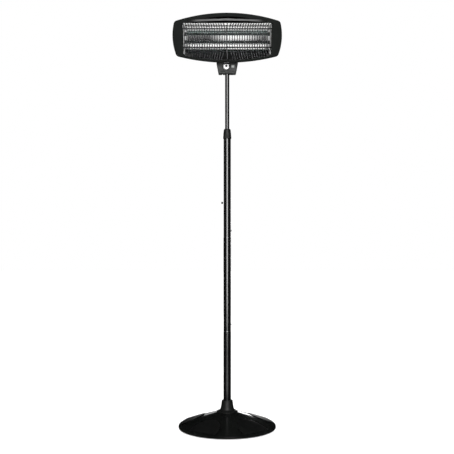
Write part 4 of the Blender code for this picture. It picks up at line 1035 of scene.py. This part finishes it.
def painted_shade_corners(u):
    """Section of the near-black strip between the opening and the polished strip: painted shade along the
    hood's shadowed edge.
    """
    top = HOOD_BAND[0] - arc_drop(u, HOOD_ARC) - 0.0004
    foot = WINDOW_TOP + 0.0006
    return [(foot, -0.0003), (top, -0.0003), (top, 0.0004), (foot, 0.0004)]


def lens_outline(grow=0.0):
    """Lens-shaped pocket in the hood."""
    half = 0.110 + 2 * grow
    upper = []
    lower = []
    for u in evenly(-half, half, 40):
        bow = 1 - (u / half) ** 2
        rise = arc_drop(u, HOOD_ARC)
        upper.append((u, HOOD_BAND[1] + 0.0007 + (0.0083 + grow) * bow - 0.4 * rise))
        lower.append((u, HOOD_BAND[1] + 0.0004 - (0.0004 + grow) * bow - 0.4 * rise))
    return upper + list(reversed(lower))


def front_bezel():
    """The front frame with its rolled edge, window wall, sloped band and lens pocket under the hood."""
    outside = [(0.0200, 0.0012), (0.0192, 0.0004), (0.0175, 0.0), (0.0075, 0.0), (0.0050, 0.0002),
               (0.0032, 0.0007), (0.0018, 0.0016), (0.0008, 0.0029), (0.0002, 0.0044), (0.0, 0.0062)]
    inside = [(0.0200, 0.0036), (0.0060, 0.0036), (0.0045, 0.0050)]
    stacks = [[(depth, head_outline(HALF_WIDTH - inset, HEAD_UP - inset, HEAD_DOWN - inset))
               for depth, inset in profile] for profile in (outside, inside)]
    bezel = pan(*stacks)
    wall = prism(window_outline(0.0024), 0.0020, 0.0135)
    pocket_shell = prism(lens_outline(0.0016), 0.0020, 0.0100)
    bezel = boolean(bezel, [wall, pocket_shell], "UNION")
    window = prism(window_outline(), -0.010, 0.030)
    pocket = prism(lens_outline(), -0.010, 0.0085)
    notch = block((BOLT.x - 0.019, -0.01, -0.130), (BOLT.x + 0.019, 0.030, -0.1085))
    band = ribbon(HOOD_HALF, 56, band_cut_corners)
    bezel = boolean(bezel, [window, band, pocket, notch], "DIFFERENCE")
    for face in bezel.faces:
        face.material_index = 0
    add("front_bezel_shell", bezel, "charcoal", "head", "charcoal", "front_bezel", matrix=HEAD,
        smooth_angle=28.0)


def hood_inlays():
    """Polished strip that lies in the sloped band, a near-black strip under it as painted shade, and a
    near-black lens in its pocket as painted shade.
    """
    add("hood_strip", ribbon(0.188, 94, strip_corners), "hood", "head", "charcoal", matrix=HEAD)
    # near-black strip under the band: painted shade
    add("hood_shade", ribbon(0.186, 93, painted_shade_corners), "lens", "head", "charcoal", matrix=HEAD)
    # near-black lens: painted shade filling the pocket that the hood keeps in shadow
    lens = bevel(prism(lens_outline(-0.0003), 0.0062, 0.0088), 0.0006, 2, 60.0)
    add("hood_lens", lens, "lens", "head", "charcoal", matrix=HEAD)


def rear_housing():
    """Back shell: smooth shoulders, vent slots and the gland's hole.

    A station is a depth, the outline's half width, its reach up and down, and how much of its bow is left.
    """
    stations = [(0.0203, 0.2560, 0.1100, 0.1075, 0.90), (0.0340, 0.2515, 0.1045, 0.1000, 0.80),
                (0.0500, 0.2400, 0.0905, 0.0840, 0.55), (0.0620, 0.2235, 0.0725, 0.0640, 0.42),
                (0.0640, 0.2185, 0.0670, 0.0585, 0.40)]
    sections = []
    for before, start, end, after in zip(stations[:1] + stations, stations, stations[1:],
                                         stations[2:] + stations[-1:]):
        for step in range(5):
            t = step / 5
            sections.append(tuple(a + (b - a) * t for a, b in zip(start, end)))
    sections.append(stations[-1])
    outer = [(depth, head_outline(half, up, down, bow)) for depth, half, up, down, bow in sections]
    inner = []
    for depth, half, up, down, bow in sections:
        outline = head_outline(half - HOUSING_SKIN, up - HOUSING_SKIN, down - HOUSING_SKIN, bow)
        inner.append((depth - (HOUSING_SKIN if depth > 0.0615 else 0.0), outline))
    shell = pan(outer, inner)
    cuts = []
    for index in range(VENTS):
        left = VENT_PITCH * (index - (VENTS - 1) / 2) - 0.0025
        right = left + 0.005
        slot = fillet([(left, 0.010), (right, 0.010), (right, 0.044), (left, 0.044)], 0.0025, 5)
        cuts.append(prism(slot, 0.055, 0.070))
    hole = lathe([(0, 0.05), (0.0078, 0.05), (0.0078, 0.08), (0, 0.08)], 48)
    hole.transform(along_axis("Y", GLAND))
    shell = boolean(shell, cuts + [hole], "DIFFERENCE")
    add("rear_housing_shell", shell, "painted_steel", "head", "painted_steel", "rear_housing", matrix=HEAD,
        smooth_angle=32.0)


def cable_gland():
    """Gland with a gripped nut, for the mains cord."""
    gland = [(0.0040, 0.0580), (0.0110, 0.0580), (0.0110, 0.0620), (0.0075, 0.0620), (0.0075, 0.0643),
             (0.0115, 0.0643), (0.0115, 0.0690), (0.0098, 0.0700), (0.0094, 0.0770), (0.0066, 0.0800),
             (0.0040, 0.0800)]

    def grips(radius, height, angle):
        if radius < 0.0090 or height < HOUSING_BACK:
            return 0.0
        return -0.0005 * (0.5 + 0.5 * math.cos(16 * angle))

    add("cable_gland_turned", lathe(fillet(gland, 0.0006, 3), 96, grips), "satin_black",
        "head", "satin_black", "cable_gland", matrix=HEAD @ along_axis("Y", GLAND))


def guard():
    """Round wires, bent where they cross the two rails, and the rails behind them."""
    wires = bmesh.new()
    top = WINDOW_TOP + 0.0048
    for number in range(-WIRES_EACH_SIDE, WIRES_EACH_SIDE + 1):
        u = number * WIRE_PITCH
        lean = WIRE_LEAN * ((number > 0) - (number < 0))
        low = window_low(u) - 0.0012
        points = [(u + lean * (top - WIRE_KNEE), WIRE_DEPTH + 0.0030, top), (u, WIRE_DEPTH, WIRE_KNEE),
                  (u, WIRE_DEPTH, -WIRE_KNEE), (u - lean * (low + WIRE_KNEE), WIRE_DEPTH + 0.0022, low)]
        sweep(wires, fillet(points, 0.0040, 4, closed=False), WIRE_RADIUS, 20)
    add("guard_wires", wires, "guard_wire", "head", "chrome", "guard", matrix=HEAD, smooth_angle=60.0)
    # the rails take a near-black finish, which is painted shade
    rails = bmesh.new()
    end = WINDOW_HALF + 0.0035
    for v in (WIRE_KNEE, -WIRE_KNEE):
        sweep(rails, [(-end, RAIL_DEPTH, v), (0, RAIL_DEPTH, v), (end, RAIL_DEPTH, v)], RAIL_RADIUS, 20)
    add("guard_rails", rails, "guard_rail", "head", "chrome", "guard", matrix=HEAD, smooth_angle=60.0)


def reflector():
    """Bright folded sheet behind the tubes, with a bowed lip along the foot of the opening."""
    profile = [(SHEET_FRONT, WINDOW_TOP + 0.0034, 0.2148), (SHEET_FRONT, WINDOW_TOP, 0.2140),
               (SHEET_BACK, SHEET_BEND, SHEET_HALF), (SHEET_BACK, SHEET_FOOT, SHEET_HALF)]
    columns = 60
    bm = bmesh.new()
    outlines = []
    for column in range(columns + 1):
        along = 2 * column / columns - 1
        line = [(half * along, depth, height) for depth, height, half in profile]
        u = 0.2080 * along
        line += [(u, SHEET_FRONT, window_low(u)), (u, SHEET_FRONT, window_low(u) - 0.0014)]
        outlines.append(fillet(line, 0.0030, 5, closed=False))
    middle = outlines[columns // 2]
    grid = []
    for line in outlines:
        grid.append([bm.verts.new(point) for point in densify(line, 0.0020, closed=False, like=middle)])
    for line, next_line in zip(grid, grid[1:]):
        bridge(bm, line, next_line, closed=False)
    # faces below the foot take the darker copy of the sheet, which is painted shade; faces above the bend
    # take the rougher slope finish
    for face in bm.faces:
        height = face.calc_center_median().z
        face.material_index = 1 if height < SHEET_FOOT - 0.0015 else 2 if height > SHEET_BEND + 0.0008 else 0
    finishes = [MATERIALS[name] for name in ("mirror_sheet", "sheet_lip", "sheet_slope")]
    trough = new_piece("reflector_sheet", bm, finishes, HEAD, 60.0)
    thicken = trough.modifiers.new("thicken", "SOLIDIFY")
    thicken.thickness = SHEET_THICKNESS
    thicken.offset = 0.0
    publish(trough, "head", "mirror_sheet", "reflector")


def reflector_ends():
    """Satin plates that close the trough's ends, each with three holes for the tubes' caps; their near-white,
    mostly diffuse colour is a painted reflection in place of the polished sheet's shine.
    """
    back = SHEET_BACK - SHEET_THICKNESS
    front = SHEET_FRONT + SHEET_THICKNESS
    foot = 0.2075
    corners = [(0.2115, front, WINDOW_TOP - 0.0035), (SHEET_HALF, back, SHEET_BEND - 0.0008),
               (SHEET_HALF, back, SHEET_FOOT + 0.0008), (foot, front, window_low(foot) + 0.0022)]
    for name, side in (("left", -1), ("right", 1)):
        bm = bmesh.new()
        loops = [[bm.verts.new((side * (u + skin), b, v)) for u, b, v in corners]
                 for skin in (0.0, SHEET_THICKNESS)]
        bridge(bm, *loops)
        for loop in loops:
            bm.faces.new((loop[0], loop[1], loop[2]))
            bm.faces.new((loop[0], loop[2], loop[3]))
        holes = []
        start, end = side * 0.17, side * 0.24
        for height in TUBE_ROWS:
            hole = lathe([(0, start), (CAP_HOLE_RADIUS, start), (CAP_HOLE_RADIUS, end), (0, end)], 48)
            hole.transform(along_axis("X", (0, TUBE_DEPTH, height)))
            holes.append(hole)
        plate = boolean(bm, holes, "DIFFERENCE")
        for face in plate.faces:
            face.material_index = 0
        add(f"reflector_plate_{name}", plate, "sheet_end", "head", "mirror_sheet", f"reflector_end_{name}",
            matrix=HEAD)


def heating_tubes():
    """Three quartz tubes, each with its wound coil and a ceramic cap at both ends."""
    bore = QUARTZ_RADIUS - 0.0011
    glass = fillet([(bore, -QUARTZ_HALF), (QUARTZ_RADIUS, -QUARTZ_HALF), (QUARTZ_RADIUS, QUARTZ_HALF),
                    (bore, QUARTZ_HALF)], 0.0004, 3)
    reach = QUARTZ_HALF - 0.006
    steps = COIL_TURNS * 12
    helix = []
    for step in range(steps + 1):
        angle = 2 * math.pi * step / 12
        along = reach * (2 * step / steps - 1)
        helix.append((COIL_RADIUS * math.cos(angle), COIL_RADIUS * math.sin(angle), along))
    cap = [(0.0068, 0.1985), (0.0084, 0.1985), (0.0088, 0.1992), (0.0088, 0.2060), (0.0078, 0.2068),
           (0.0078, 0.2085), (0.0088, 0.2093), (0.0088, 0.2212), (0.0078, 0.2225), (0.0012, 0.2225),
           (0.0012, 0.2043), (0.0068, 0.2043)]
    for number, height in enumerate(TUBE_ROWS, 1):
        line = HEAD @ along_axis("X", (0, TUBE_DEPTH, height))
        add(f"quartz_glass_{number}", lathe(glass, 48), "quartz", "head", "quartz", f"quartz_tube_{number}",
            matrix=line)
        coil = bmesh.new()
        sweep(coil, helix, COIL_WIRE_RADIUS, 6)
        add(f"coil_wire_{number}", coil, "heating_wire", "head", "heating_wire", f"heating_coil_{number}",
            matrix=line, smooth_angle=70.0)
        for name, side in (("left", -1), ("right", 1)):
            profile = [(radius, side * along) for radius, along in cap]
            add(f"ceramic_end_{name}_{number}", lathe(fillet(profile, 0.0006, 3), 56), "ceramic",
                "head", "ceramic", f"ceramic_cap_{name}_{number}", matrix=line)


def housing_screws():
    """The four screws at the back of the head."""
    profile = [(0, 0.0), (0.0034, 0.0), (0.0036, 0.0006), (0.0034, 0.0014), (0.0022, 0.0022), (0, 0.0024)]
    for row, v in (("upper", 0.052), ("lower", -0.048)):
        for side, u in (("left", -0.205), ("right", 0.205)):
            head = lathe(fillet(profile, 0.0004, 3, closed=False), 40)
            head = cut_cross(head, 0.0022, 0.0004, 0.0010, 0.01)
            add(f"back_screw_{side}_{row}", head, "bare_steel",
                "head", "bare_steel", f"housing_screw_{side}_{row}",
                matrix=HEAD @ along_axis("Y", (u, HOUSING_BACK + 0.0003, v)))


# ------------------------------------------------------------------ scene
MATERIALS = make_materials()
bpy.context.scene.view_settings.view_transform = "Standard"
add_camera()
add_stage()
dress_cad_nodes()
pull_cord()
base_cover()
base_collar()
base_underside()
stand_tubes()
joint_screws()
twist_collar()
mast_tube()
bracket_trim()
clamp_plate()
tilt_knob()
bracket_screws()
front_bezel()
hood_inlays()
rear_housing()
cable_gland()
guard()
reflector()
reflector_ends()
heating_tubes()
housing_screws()
add_lights()
